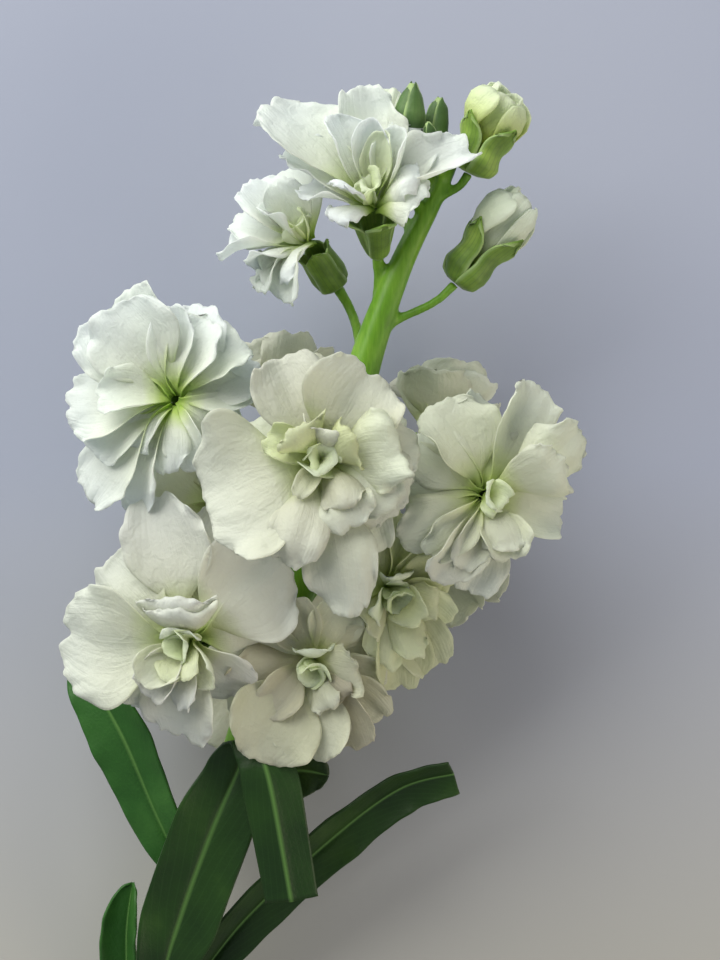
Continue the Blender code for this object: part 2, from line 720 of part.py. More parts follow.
def leaf_rows(leaf, rows, columns):
    """A leaf as rows of points, from its foot to its end, with its sides folded up."""
    points = [Vector(point) for point in leaf.midrib]
    count = len(points)
    line = []
    for index in range(count - 1):
        start = points[index]
        end = points[index + 1]
        before = points[max(index - 1, 0)]
        after = points[min(index + 2, count - 1)]
        pull_in = (end - before) / 6
        pull_out = (after - start) / 6
        piece = interpolate_bezier(start, start + pull_in, end - pull_out, end, 13)
        line += piece if index == 0 else piece[1:]
    found = []
    across = Vector(leaf.across)
    last = len(line) - 1
    for index, point in enumerate(line):
        tangent = (line[min(index + 1, last)] - line[max(index - 1, 0)]).normalized()
        side = (across - tangent * across.dot(tangent)).normalized()
        found.append((point, side, side.cross(tangent)))
    grid = []
    for row in range(rows + 1):
        place = row / rows * last
        low = min(int(place), last - 1)
        share = place - low
        point = found[low][0].lerp(found[low + 1][0], share)
        lateral = found[low][1].lerp(found[low + 1][1], share).normalized()
        up = found[low][2].lerp(found[low + 1][2], share).normalized()
        station = place / 12
        knot = min(int(station), count - 2)
        ease = station - knot
        ease = ease * ease * (3 - 2 * ease)
        half = leaf.half_widths[knot] * (1 - ease) + leaf.half_widths[knot + 1] * ease
        cells = []
        for column in range(columns + 1):
            across = 2 * column / columns - 1
            stand = math.radians(leaf.fold) * (1 + abs(across)) / 2
            wave = 0.35 * across * math.sin(0.9 * row * 10 / rows + across)
            out = lateral * half * across * math.cos(stand)
            cells.append(point + out + up * (half * abs(across) * math.sin(stand) + wave))
        grid.append(cells)
    return grid


def leaf_mesh(leaf):
    """A leaf blade with a rib along its lower face."""
    return sheet(leaf_rows(leaf, 2 * len(leaf.midrib) - 3, 4), LEAF_THICKNESS, RIB_DEPTH)


def stem_pieces():
    points = [Vector(station[:3]) for station in STEM]
    pieces = [tube(points, [station[3] for station in STEM], 8)]
    for bloom in BLOOMS.values():
        facing = Vector(bloom.facing).normalized()
        line = stalk_points(bloom.leaves_stem, calyx_base(bloom), facing)
        pieces.append(tube(line, [STALK_RADIUS * 1.15] + [STALK_RADIUS] * (len(line) - 1), 5))
    for bud in (CLOSED_BUDS | OPEN_BUDS).values():
        facing = (Vector(bud.tip) - Vector(bud.base)).normalized()
        line = stalk_points(bud.leaves_stem, Vector(bud.base), facing)
        pieces.append(tube(line, [0.9] * len(line), 5))
    return pieces


def build():
    for found in list(bpy.data.objects):
        bpy.data.objects.remove(found)
    fuse("stem", stem_pieces(), STEM_GREEN)
    for name, bloom in BLOOMS.items():
        facing = Vector(bloom.facing).normalized()
        fuse("petals_" + name, bloom_petals(name), WHITE)
        cup = cup_mesh(calyx_base(bloom), facing, CALYX_LENGTH - 1.0, CALYX_RADIUS, CUP_RADIUS, 3.4)
        add_object("calyx_" + name, cup, CALYX_GREEN)
    for name, bud in CLOSED_BUDS.items():
        add_object("bud_" + name, bud_mesh(bud), CALYX_GREEN)
    for name, bud in OPEN_BUDS.items():
        base = Vector(bud.base)
        axis = (Vector(bud.tip) - base).normalized()
        length = (Vector(bud.tip) - base).length
        cup = cup_mesh(base, axis, length * 0.5, bud.radius * 0.86, bud.radius * 0.62,
                       length * 0.2, 0.2, length * 0.12)
        add_object("bud_sepals_" + name, cup, CALYX_GREEN)
        add_object("bud_petals_" + name, wrapped_petals(bud, 0.52), WHITE)
    for name, leaf in LEAVES.items():
        add_object("leaf_" + name, leaf_mesh(leaf), LEAF_GREEN)


build()
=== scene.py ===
import math
import random
from typing import NamedTuple

import bmesh
import bpy
import numpy as np
from mathutils import Matrix, Vector, noise
from mathutils.geometry import interpolate_bezier


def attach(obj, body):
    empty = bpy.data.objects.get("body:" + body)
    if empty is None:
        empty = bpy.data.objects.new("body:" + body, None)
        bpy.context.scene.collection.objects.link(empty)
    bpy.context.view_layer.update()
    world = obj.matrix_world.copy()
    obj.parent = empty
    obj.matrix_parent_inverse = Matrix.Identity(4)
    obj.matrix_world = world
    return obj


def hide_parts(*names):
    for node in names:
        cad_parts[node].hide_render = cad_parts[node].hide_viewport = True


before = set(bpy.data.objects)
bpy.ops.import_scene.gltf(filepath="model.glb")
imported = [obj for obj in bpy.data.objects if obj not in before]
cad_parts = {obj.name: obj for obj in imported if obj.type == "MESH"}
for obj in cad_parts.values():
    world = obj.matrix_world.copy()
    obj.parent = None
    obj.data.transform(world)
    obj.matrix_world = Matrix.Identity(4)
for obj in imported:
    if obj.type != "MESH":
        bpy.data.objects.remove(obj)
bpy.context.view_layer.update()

scene = bpy.context.scene

# The camera looks straight down on the lying stem, from arm's length above the flowers.
# Lengths are millimetres on the part's drawing. ORIGIN moves the drawing to the part's place.
MM = 0.001
ORIGIN = Vector((9.0, 37.0, -1.2))
STEM_HEIGHT = 36.0
CAMERA_DISTANCE = 320.0
VIEW_WIDTH = 144.0

camera_data = bpy.data.cameras.new("camera")
camera_data.sensor_width = 36.0
camera_data.sensor_fit = "HORIZONTAL"
camera_data.lens = camera_data.sensor_width * CAMERA_DISTANCE / VIEW_WIDTH
camera = bpy.data.objects.new("camera", camera_data)
camera.location = (ORIGIN + Vector((0, 0, STEM_HEIGHT + CAMERA_DISTANCE))) * MM
scene.collection.objects.link(camera)
scene.camera = camera

# The studio is a plain pale floor under soft daylight: a large window high on the left, beyond
# the flowers, and a dim warm wall on the right.


def linear(code):
    """An sRGB hex colour as linear red, green, blue and alpha."""
    parts = [int(code[start:start + 2], 16) / 255 for start in (1, 3, 5)]
    return tuple(c / 12.92 if c < 0.04045 else ((c + 0.055) / 1.055) ** 2.4 for c in parts) + (1.0,)


def add_node(tree, kind, settings=None, stops=None, **sockets):
    """Add a node, with its settings, its ramp's colours, and each input's value or link."""
    node = tree.nodes.new("ShaderNode" + kind)
    for name, value in (settings or {}).items():
        setattr(node, name, value)
    if stops:
        ramp = node.color_ramp
        while len(ramp.elements) < len(stops):
            ramp.elements.new(0.5)
        for element, (position, colour) in zip(ramp.elements, stops):
            element.position = position
            element.color = linear(colour)
    for name, value in sockets.items():
        place = int(name[1:]) if name[0] == "_" else name.replace("_", " ")
        socket = node.inputs[place]
        if isinstance(value, bpy.types.NodeSocket):
            tree.links.new(value, socket)
        else:
            socket.default_value = value
    return node


def sums(tree, operation, *values):
    """The result of a math node on values and sockets."""
    named = {f"_{place}": value for place, value in enumerate(values)}
    return add_node(tree, "Math", settings={"operation": operation}, **named).outputs[0]


def mixed(tree, share, first, second):
    """Two colours, mixed by a share from 0 to 1."""
    settings = {"data_type": "RGBA"}
    return add_node(tree, "Mix", settings, _0=share, _6=first, _7=second).outputs[2]


def new_material(name):
    """A material with an empty node tree, and its output node."""
    made = bpy.data.materials.new(name)
    made.use_nodes = True
    made.node_tree.nodes.clear()
    return made.node_tree, made.node_tree.nodes.new("ShaderNodeOutputMaterial"), made


# Matt paper, a little cooler beyond the flowers and warmer at the near end, where warm room light
# is painted into its colour.
tree, output, paper = new_material("matt studio paper")
coords = add_node(tree, "TexCoord")
mottle = add_node(tree, "TexNoise", Vector=coords.outputs["Object"], Scale=4.0, Detail=2.0)
cool = add_node(tree, "ValToRGB", Fac=mottle.outputs["Fac"], stops=(
    (0.35, "#9ba0b0"), (0.65, "#a2a7b6")))
place = add_node(tree, "SeparateXYZ", Vector=coords.outputs["Object"])
# Painted light: a mask that grows towards the near end mixes in a warm grey that stands for warm
# room light on the paper.
lower = add_node(tree, "MapRange", Value=place.outputs["Y"], From_Min=0.04, From_Max=-0.09)
shade = mixed(tree, lower.outputs[0], cool.outputs["Color"], linear("#aba99f"))
surface = add_node(tree, "BsdfPrincipled", Base_Color=shade, Roughness=0.95, Specular_IOR_Level=0.1)
tree.links.new(surface.outputs[0], output.inputs["Surface"])

bm = bmesh.new()
bmesh.ops.create_grid(bm, x_segments=1, y_segments=1, size=1.5)
floor_mesh = bpy.data.meshes.new("floor")
bm.to_mesh(floor_mesh)
bm.free()
floor_mesh.materials.append(paper)
floor = bpy.data.objects.new("floor", floor_mesh)
floor.location.z = -0.0002
scene.collection.objects.link(floor)

world = bpy.data.worlds.new("soft room light")
scene.world = world
world.use_nodes = True
world.node_tree.nodes["Background"].inputs["Color"].default_value = linear("#d3d9e8")
world.node_tree.nodes["Background"].inputs["Strength"].default_value = 0.46

for name, spot, size, power, colour in (
    ("window", (-0.40, 0.58, 0.42), 0.90, 12.2, "#fffef6"),
    ("wall", (0.60, -0.35, 0.30), 0.60, 3.2, "#fff0d8"),
):
    lamp = bpy.data.lights.new(name, "AREA")
    lamp.size = size
    lamp.energy = power
    lamp.color = linear(colour)[:3]
    lamp_object = bpy.data.objects.new(name, lamp)
    lamp_object.location = spot
    aim = Vector((0, 0, 0.03)) - Vector(spot)
    lamp_object.rotation_euler = aim.to_track_quat("-Z", "Y").to_euler()
    scene.collection.objects.link(lamp_object)
scene.view_settings.view_transform = "Standard"
scene.view_settings.look = "None"


# The stem is one juicy green axis with a thin stalk to every bloom and bud. The stalks grow out of
# it without a seam, so the tubes are merged into one skin and smoothed.
# The stem from its cut end to its growing tip: x, y, height and radius.
STEM = (
    (-46.0, -150.0, 5.3, 4.2),
    (-41.0, -118.0, 9.5, 4.1),
    (-36.0, -96.0, 15.0, 4.0),
    (-24.0, -54.0, 25.0, 3.8),
    (-14.0, -26.0, 31.5, 3.6),
    (-5.0, -2.0, 36.0, 3.5),
    (1.0, 23.0, 39.0, 3.3),
    (8.0, 42.0, 41.0, 2.4),
    (14.0, 54.0, 42.0, 1.9),
    (18.0, 62.0, 42.5, 1.3),
)
STALK_RADIUS = 1.05
SEAT_GAP = 0.35
CALYX_LENGTH = 10.5


class Petal(NamedTuple):
    """One petal. Clock is the way that its tip points, seen from above: 0 is +X and 90 is +Y."""

    clock: float
    reach: float  # from the bloom's centre to the tip, seen from above
    rise: float  # how far the tip is above the centre
    width: float
    curl: float = 20.0  # how far the tip bends back, or in if it is negative
    cup: float = 25.0  # how far the sides stand up, or fold back if it is negative
    twist: float = 0.0
    tint: float = 0.0  # from white to yellow green


class Bloom(NamedTuple):
    """A flower on its stalk: its centre, the way that it faces and where it leaves the stem."""

    centre: tuple
    facing: tuple
    leaves_stem: float
    weight: float
    petals: tuple = ()


class Bud(NamedTuple):
    """A bud on its stalk: its base, its tip, its radius and where it leaves the stem."""

    base: tuple
    tip: tuple
    radius: float
    leaves_stem: float


BLOOMS = {
    "centre": Bloom((-7.2, 3.4, 56.0), (0.02, 0.08, 1.0), -9.0, 24.0, (
        Petal(112, 21.5, 1, 17, 15, 20),
        Petal(62, 20, 2, 20, 20, 30),
        Petal(201, 23, 1, 30, 25, 15),
        Petal(9, 18.5, -1, 12, 20, 20),
        Petal(-28, 16, 4, 13, 60, -20),
        Petal(-81, 29, 1, 13, 30, -15),
        Petal(255, 19, 2, 9, 30, -30),
        Petal(-62, 10, 8, 10, 70, -40),
        Petal(70, 6, 8.5, 12, 70, -30),
    )),
    "left": Bloom((-35.4, 15.2, 45.0), (-0.5, 0.3, 0.8), 0.0, 20.0, (
        Petal(113, 24.5, -1, 13, 0, 25),
        Petal(140, 24.5, -3, 12, 5, 25),
        Petal(92, 18.5, 4, 10, -10, 35, 20),
        Petal(50, 18, 1, 19, 20, 30),
        Petal(5, 15, 1, 9, 20, 20),
        Petal(183, 22, -5, 18, 15, 20),
        Petal(178, 15.5, 4, 12, 10, 30),
        Petal(226, 26.5, -6, 18, 15, 10),
        Petal(248, 24, -3, 13, 20, 15),
        Petal(262, 14.5, 5, 10, 30, -40),
    )),
    "right": Bloom((23.4, -3.0, 48.0), (0.45, -0.1, 0.88), -9.0, 20.0, (
        Petal(118, 20, 2, 17, 20, 20),
        Petal(65, 24, -2, 11, 10, 30),
        Petal(32, 23, 4, 15, 50, -30),
        Petal(-15, 17, -4, 10, 20, 30),
        Petal(-68, 13.5, 4, 11, 20, 30),
        Petal(208, 18.5, 5, 12, 40, -35),
        Petal(240, 19, 3, 9, 20, 30),
        Petal(262, 19, -1, 12, 20, 20),
        Petal(160, 18, -5, 13, 10, 20),
    )),
    "lower_left": Bloom((-32.6, -30.4, 46.0), (-0.3, -0.25, 0.92), -50.0, 21.0, (
        Petal(178, 25.5, -1, 25, 30, 25),
        Petal(103, 28.8, 0.6, 19, 10, 20),
        Petal(42, 23, -1, 24, 10, 20),
        Petal(115, 7, 9, 17, 80, -50),
        Petal(236, 14, 4, 12, 10, 50),
        Petal(266, 14, 5, 8, 20, 30, 30),
        Petal(264, 21, -3, 17, 20, 20),
        Petal(221, 19, -5, 9, 10, 20),
        Petal(320, 15, 0, 13, 20, 20),
    )),
    "bottom": Bloom((-9.0, -35.0, 40.0), (0.0, -0.45, 0.89), -52.0, 19.0, (
        Petal(196, 17.5, 4, 14, 40, -20),
        Petal(238, 23, 4, 20, 20, 30),
        Petal(268, 20, 3, 17, 20, 30),
        Petal(225, 15, 5, 10, 20, 30),
        Petal(-13, 9.5, 8, 11, 60, -30),
        Petal(-60, 20, 1, 11, 10, 35),
        Petal(-40, 18.5, -3, 9, 10, 20),
        Petal(115, 13, 4, 12, 20, 30),
    )),
    "lower_right": Bloom((4.6, -21.0, 39.5), (0.5, -0.4, 0.77), -38.0, 18.0, (
        Petal(-8, 13, -1, 13, 20, 20),
        Petal(-32, 15.5, -2, 12, 20, 20),
        Petal(-57, 20, -4, 12, 20, 20),
        Petal(-79, 21.5, -3, 11, 10, 20),
        Petal(256, 10, 6, 10, 30, -20),
        Petal(75, 15, 0, 13, 30, 20),
        Petal(22, 13.5, 0, 13, 30, 20),
        Petal(-40, 10, 7, 9, 30, 30),
    )),
    "top": Bloom((2.6, 51.5, 50.0), (-0.08, 0.72, 0.69), 21.0, 21.0, (
        Petal(134, 29.5, -1, 22, 5, 10),
        Petal(148, 21, 1, 9, 10, 20),
        Petal(95, 25, -3, 10, -10, 30),
        Petal(114, 19.5, 3, 8, 0, 40),
        Petal(160, 8, 9, 10, 80, -50),
        Petal(94, 16.5, 6, 11, -30, 50),
        Petal(72, 16, 5, 10, -20, 50),
        Petal(39, 11, 7.5, 11.5, 45, -45),
        Petal(32, 23, 1, 10, 10, 35),
    )),
    "upper_left": Bloom((-10.0, 46.5, 38.0), (-0.5, 0.7, 0.5), 19.0, 17.0, (
        Petal(135, 18, 0, 13, 20, 20),
        Petal(106, 16.5, -3, 12, 20, 20),
        Petal(188, 18.5, 0, 12, 20, 25),
        Petal(240, 10, 7, 9, 50, -30),
        Petal(254, 13, 5, 11, 40, 20),
        Petal(215, 13, -6, 12, 20, 20),
        Petal(150, 12, 6, 9, 20, 30),
    )),
    "upper_back_left": Bloom((-14.0, 12.0, 23.0), (-0.25, 0.85, -0.5), -20.0, 16.0, (
        Petal(118, 19, 3, 14, 10, 25),
        Petal(62, 17, 4, 12, 10, 25),
        Petal(150, 17, -6, 14, 20, 20),
        Petal(100, 17, -18, 15, 10, 20),
        Petal(50, 13, -16, 14, 20, 20),
        Petal(80, 8, -22, 15, 10, 25),
    )),
    "upper_back_right": Bloom((15.0, 9.0, 24.0), (0.35, 0.8, -0.5), -18.0, 16.0, (
        Petal(88, 14, 6, 16, 10, 20),
        Petal(45, 17, 3, 13, 10, 25),
        Petal(0, 15, -5, 14, 20, 20),
        Petal(125, 13, -14, 14, 20, 20),
        Petal(60, 17, -16, 14, 10, 20),
        Petal(40, 8, -23, 15, 10, 25),
    )),
    "back_left": Bloom((-29.0, -6.0, 18.0), (-0.8, 0.15, -0.5), -28.0, 18.0),
    "back_centre": Bloom((-8.0, -14.0, 12.0), (0.05, 0.15, -1.0), -40.0, 17.0),
    "back_right": Bloom((15.0, -13.0, 18.5), (0.8, 0.0, -0.6), -32.0, 18.0),
    "back_bottom": Bloom((-24.0, -40.0, 12.0), (-0.25, -0.35, -0.9), -62.0, 17.0),
}

CLOSED_BUDS = {
    "tall": Bud((8.5, 62.5, 46.0), (10.3, 76.4, 49.0), 3.1, 50.0),
    "middle": Bud((13.8, 63.6, 42.6), (15.6, 74.6, 44.6), 2.5, 55.0),
    "small": Bud((14.5, 62.5, 47.5), (12.9, 68.3, 51.0), 1.4, 58.0),
}
OPEN_BUDS = {
    "yellow": Bud((21.2, 60.0, 44.6), (28.2, 74.2, 48.8), 5.4, 54.0),
    "side": Bud((18.8, 38.9, 41.0), (31.8, 54.7, 44.0), 5.0, 28.0),
    "hidden": Bud((5.5, 62.0, 38.0), (6.5, 76.5, 37.0), 3.6, 46.0),
}


def unit(vector):
    return Vector(vector).normalized()


def frame_of(axis):
    """Two directions square to an axis and to each other."""
    across = axis.cross(Vector((0.3, -0.8, 0.5))).normalized()
    return across, axis.cross(across)


def around(axis, angle):
    first, second = frame_of(axis)
    return first * math.cos(angle) + second * math.sin(angle)


def stem_at(y):
    """The stem's middle and its direction where it passes y."""
    for lower, upper in zip(STEM, STEM[1:]):
        if y <= upper[1] or upper is STEM[-1]:
            start = Vector(lower[:3])
            end = Vector(upper[:3])
            share = (y - lower[1]) / (upper[1] - lower[1])
            return start.lerp(end, share), (end - start).normalized()


def stalk_points(leaves_stem, base, facing, count=4):
    """The middle of a stalk, from inside the stem to the base of its bloom or bud."""
    start, along = stem_at(leaves_stem)
    end = base - facing * SEAT_GAP
    seat = end - facing * 0.8
    pull = (seat - start).length * 0.4
    out = ((seat - start).normalized() + along).normalized()
    line = interpolate_bezier(start, start + out * pull, seat - facing * pull, seat, count)
    return line + [end]


def run_of(bud):
    """A bud's base, the way that it faces and its length."""
    base = Vector(bud.base)
    span = Vector(bud.tip) - base
    return base, span.normalized(), span.length


def calyx_base(bloom):
    return Vector(bloom.centre) - unit(bloom.facing) * CALYX_LENGTH


def smooth_run(points, index, count):
    """Places along a smooth line through points, from one of its points to the next."""
    start, end = points[index], points[index + 1]
    before = points[max(index - 1, 0)]
    after = points[min(index + 2, len(points) - 1)]
    pulls = start + (end - before) / 6, end - (after - start) / 6
    return interpolate_bezier(start, *pulls, end, count)


def even_line(points, radii, step):
    """A smooth line through points and radii, as places about one step apart."""
    places = []
    for index in range(len(points) - 1):
        count = max(2, int((points[index + 1] - points[index]).length / step) + 1)
        run = smooth_run(points, index, count)
        for share, point in zip(np.linspace(0, 1, count)[:-1], run[:-1]):
            places.append((point, radii[index] * (1 - share) + radii[index + 1] * share))
    places.append((points[-1], radii[-1]))
    return places


def add_tube(bm, places, sides, ridge=0.0):
    """A closed tube along a line: a flat grid that is rolled up, with its seam merged.

    Ridge is how far five low ribs stand out, as a share of the radius.
    """
    count = len(places)
    grid = bmesh.ops.create_grid(bm, x_segments=sides, y_segments=count - 1, size=0.5)["verts"]
    middles = [place[0] for place in places]
    across = None
    frames = []
    for index, (middle, radius) in enumerate(places):
        tangent = (middles[min(index + 1, count - 1)] - middles[max(index - 1, 0)]).normalized()
        across = across or frame_of(tangent)[0]
        across = (across - tangent * across.dot(tangent)).normalized()
        frames.append((middle, radius, across.copy(), tangent.cross(across)))
    for vert in grid:
        middle, radius, first, second = frames[round((vert.co.y + 0.5) * (count - 1))]
        turn = 2 * math.pi * (vert.co.x + 0.5)
        out = radius * (1 + ridge * math.cos(5 * turn))
        vert.co = middle + (first * math.cos(turn) + second * math.sin(turn)) * out
    bmesh.ops.remove_doubles(bm, verts=grid, dist=0.001)
    rims = [edge for edge in bm.edges if edge.is_boundary]
    bmesh.ops.holes_fill(bm, edges=rims, sides=sides + 1)


def add_piece(name, bm, finish, slot, *nodes):
    """Move a mesh from the drawing to the part's place, and put it where CAD nodes were."""
    bmesh.ops.translate(bm, verts=bm.verts, vec=ORIGIN)
    bmesh.ops.scale(bm, verts=bm.verts, vec=Vector((MM, MM, MM)))
    mesh = bpy.data.meshes.new(name)
    bm.to_mesh(mesh)
    bm.free()
    mesh.materials.append(finish)
    mesh.shade_smooth()
    piece = bpy.data.objects.new(name, mesh)
    scene.collection.objects.link(piece)
    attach(piece, "root")
    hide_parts(*nodes)
    return piece


bm = bmesh.new()
middles = [Vector(station[:3]) for station in STEM]
add_tube(bm, even_line(middles, [station[3] for station in STEM], 2.0), 40, ridge=0.03)
for bloom in BLOOMS.values():
    line = stalk_points(bloom.leaves_stem, calyx_base(bloom), unit(bloom.facing), 8)
    radii = [STALK_RADIUS * 1.7, STALK_RADIUS * 1.5, STALK_RADIUS * 1.15] + [STALK_RADIUS] * 4
    radii += [STALK_RADIUS * 1.15, STALK_RADIUS * 1.25]
    add_tube(bm, list(zip(line, radii)), 16)
for bud in (CLOSED_BUDS | OPEN_BUDS).values():
    base, facing, _ = run_of(bud)
    line = stalk_points(bud.leaves_stem, base, facing, 8)
    radii = [1.3, 1.15, 1.0] + [0.9] * 4 + [1.0, 1.1]
    add_tube(bm, list(zip(line, radii)), 16)

# Living green skin: smooth, a little waxy, with fine pale streaks along it and a trace of down.
tree, output, green_skin = new_material("smooth living stem")
coords = add_node(tree, "TexCoord")
stretch = add_node(tree, "Mapping", Vector=coords.outputs["Object"], Scale=(1500.0, 90.0, 1500.0))
streaks = add_node(tree, "TexNoise", Vector=stretch.outputs[0], Scale=1.0, Detail=4.0,
                   Roughness=0.6)
patches = add_node(tree, "TexNoise", Vector=coords.outputs["Object"], Scale=70.0, Detail=3.0)
blend = sums(tree, "MULTIPLY_ADD", streaks.outputs["Fac"], 0.5, patches.outputs["Fac"])
colour = add_node(tree, "ValToRGB", Fac=blend, stops=(
    (0.45, "#466914"), (0.7, "#60911a"), (0.95, "#80ab34")))
bump = add_node(tree, "Bump", Height=streaks.outputs["Fac"], Strength=0.25, Distance=0.0002)
skin = add_node(tree, "BsdfPrincipled", Base_Color=colour.outputs["Color"], Roughness=0.42,
                IOR=1.42, Normal=bump.outputs[0], Sheen_Weight=0.05, Subsurface_Weight=0.12,
                Subsurface_Radius=(0.4, 0.8, 0.2), Subsurface_Scale=MM)
tree.links.new(skin.outputs[0], output.inputs["Surface"])

stem = add_piece("stem_and_stalks", bm, green_skin, "stem", "stem")
merge = stem.modifiers.new("one skin", "REMESH")
merge.mode = "VOXEL"
merge.voxel_size = 0.00048
merge.use_smooth_shade = True
ease = stem.modifiers.new("eased joints", "SMOOTH")
ease.factor = 0.5
ease.iterations = 6


# The leaves are soft straps, dark green and a little downy, each with a pale sunken midrib. Two
# were cut square when the stem was trimmed, and one bends over and hangs.
class Leaf(NamedTuple):
    """A strap leaf: points along its midrib, and half its width at each."""

    midrib: tuple
    half_widths: tuple
    across: tuple  # from its left edge to its right one, seen with its foot at the bottom
    fold: float  # how far its sides stand up, in degrees
    rounded: bool = True  # or cut square


LEAF_STEPS = 12  # places from one point of a midrib to the next
LEAVES = {
    "left": Leaf(
        ((-35.0, -85.5, 21.9), (-42.0, -70.0, 24.5), (-48.6, -54.0, 25.5), (-55.0, -42.0, 24.5),
         (-57.6, -33.0, 22.5)),
        (2.6, 6.0, 7.2, 6.0, 1.5), (0.8, 0.45, 0.35), 14.0),
    "arch": Leaf(
        ((-41.2, -119.0, 13.95), (-40.6, -103.0, 23.5), (-36.6, -89.0, 27.5), (-30.0, -71.0, 31.6),
         (-25.0, -59.5, 33.0), (-22.4, -53.6, 35.2), (-20.8, -51.6, 38.6), (-19.4, -54.0, 41.8),
         (-17.2, -61.5, 42.4), (-13.6, -83.7, 38.0)),
        (2.6, 6.0, 8.2, 8.3, 6.6, 5.4, 5.0, 4.9, 5.8, 5.4), (1.0, -0.1, 0.0), 12.0, False),
    "right": Leaf(
        ((-36.1, -108.5, 16.7), (-24.0, -92.0, 21.5), (-6.0, -74.0, 27.0), (8.0, -63.0, 30.0),
         (19.0, -59.5, 32.0)),
        (2.8, 5.6, 6.0, 5.2, 4.4), (0.55, -0.7, -0.35), 24.0, False),
    "round": Leaf(
        ((-27.7, -68.0, 26.4), (-20.0, -62.0, 29.5), (-13.0, -59.0, 31.5), (-6.5, -59.8, 32.0)),
        (2.5, 5.0, 5.8, 3.4), (0.35, -0.9, 0.0), 12.0),
    "low": Leaf(
        ((-45.0, -130.0, 12.0), (-49.5, -114.0, 11.5), (-50.0, -98.0, 13.5), (-48.5, -86.0, 15.0)),
        (2.4, 4.4, 5.6, 3.8), (0.9, 0.15, 0.35), 42.0),
}


def add_sheet(bm, columns, rows, place):
    """A grid that is laid where place says, from its across (-1 to 1) and along (0 to 1)."""
    made = bmesh.ops.create_grid(bm, x_segments=columns, y_segments=rows, size=0.5, calc_uvs=True)
    verts = made["verts"]
    across = np.array([vert.co.x for vert in verts]) * 2
    along = np.array([vert.co.y for vert in verts]) + 0.5
    for vert, point in zip(verts, place(across, along)):
        vert.co = point
    return verts


def new_sheets():
    """An empty mesh for sheets, with a UV map of their own across and along."""
    bm = bmesh.new()
    bm.loops.layers.uv.new("UVMap")
    return bm


def thicken(sheet, wall, thickness):
    """Give a sheet its real thickness, half of it on each side."""
    solid = sheet.modifiers.new(wall, "SOLIDIFY")
    solid.thickness = thickness * MM
    solid.offset = 0.0


def pick(values, share):
    """Where a line of values is at each share of its length."""
    table = np.array([tuple(value) for value in values])
    stations = np.linspace(0, 1, len(values))
    return np.stack([np.interp(share, stations, table[:, axis]) for axis in range(3)], axis=1)


def leaf_place(leaf, seed):
    """Where each point of a leaf goes, as a function of across and along."""
    chance = random.Random(seed)
    phases = [chance.uniform(0, 2 * math.pi) for _ in range(4)]
    points = [Vector(point) for point in leaf.midrib]
    count = len(points)
    line = []
    for index in range(count - 1):
        run = smooth_run(points, index, LEAF_STEPS + 1)
        line += run if index == 0 else run[1:]
    last = len(line) - 1
    cross = Vector(leaf.across)
    sides, ups = [], []
    for index in range(last + 1):
        tangent = (line[min(index + 1, last)] - line[max(index - 1, 0)]).normalized()
        side = (cross - tangent * cross.dot(tangent)).normalized()
        sides.append(side)
        ups.append(side.cross(tangent))

    def place(across, along):
        at = along * last / LEAF_STEPS
        knot = np.minimum(at.astype(int), count - 2)
        ease = at - knot
        ease = ease * ease * (3 - 2 * ease)
        widths = np.array(leaf.half_widths)
        half = widths[knot] * (1 - ease) + widths[knot + 1] * ease
        if leaf.rounded:
            tip = np.clip((along - 0.8) / 0.2, 0, 1)
            half = half * np.sqrt(np.maximum(1 - tip ** 2, 0.0016))
        stand = math.radians(leaf.fold) * (1 + np.abs(across)) / 2
        wave = 0.3 * across * np.sin(9.0 * along + across)
        edge = np.abs(across) ** 3
        wave = wave + edge * 0.22 * np.sin(31 * along + phases[0] + 1.7 * across)
        wave = wave + edge * 0.12 * np.sin(57 * along + phases[1] - 1.1 * across)
        groove = -0.55 * np.exp(-(half * across / 0.75) ** 2) * (1 - 0.6 * along)
        lift = half * np.abs(across) * np.sin(stand) + wave + groove
        out = half * across * np.cos(stand)
        middle = pick(line, along)
        return middle + pick(sides, along) * out[:, None] + pick(ups, along) * lift[:, None]

    return place


tree, output, leaf_skin = new_material("dark downy leaf")
coords = add_node(tree, "TexCoord")
uv = add_node(tree, "SeparateXYZ", Vector=coords.outputs["UV"])
centred = sums(tree, "SUBTRACT", uv.outputs["X"], 0.5)
aside = sums(tree, "ABSOLUTE", centred)
rib = add_node(tree, "MapRange", Value=aside, From_Min=0.004, From_Max=0.05, To_Min=0.62,
               To_Max=0.0)
# Side veins leave the midrib at a slant, about 4 mm apart, and fade out before the edge.
slant = sums(tree, "MULTIPLY_ADD", aside, -0.55, uv.outputs["Y"])
wobble = add_node(tree, "TexNoise", Vector=coords.outputs["Object"], Scale=110.0, Detail=2.0)
veined = sums(tree, "MULTIPLY_ADD", wobble.outputs["Fac"], 0.03, slant)
vein_wave = sums(tree, "SINE", sums(tree, "MULTIPLY", veined, 110.0))
vein = add_node(tree, "MapRange", Value=vein_wave, From_Min=0.82, To_Max=0.045)
patches = add_node(tree, "TexNoise", Vector=coords.outputs["Object"], Scale=60.0, Detail=5.0,
                   Roughness=0.55)
fresh = add_node(tree, "ValToRGB", Fac=patches.outputs["Fac"], stops=(
    (0.3, "#21491a"), (0.55, "#2d5a22"), (0.75, "#3d6c2c")))
# Some leaves are darker: a value given for each leaf mixes its blade towards this darker ramp.
darkened = add_node(tree, "ValToRGB", Fac=patches.outputs["Fac"], stops=(
    (0.3, "#14210a"), (0.55, "#1b2c0a"), (0.75, "#2b3d12")))
darkening = add_node(tree, "Attribute", settings={"attribute_name": "darkening"})
blade = mixed(tree, darkening.outputs["Fac"], fresh.outputs["Color"], darkened.outputs["Color"])
veins = mixed(tree, vein.outputs[0], blade, linear("#4d7a42"))
colour = mixed(tree, rib.outputs[0], veins, linear("#648d47"))
down = add_node(tree, "TexNoise", Vector=coords.outputs["Object"], Scale=1600.0, Detail=3.0)
raised = sums(tree, "MULTIPLY_ADD", vein.outputs[0], 1.2, down.outputs["Fac"])
bump = add_node(tree, "Bump", Height=raised, Strength=0.3, Distance=0.00025)
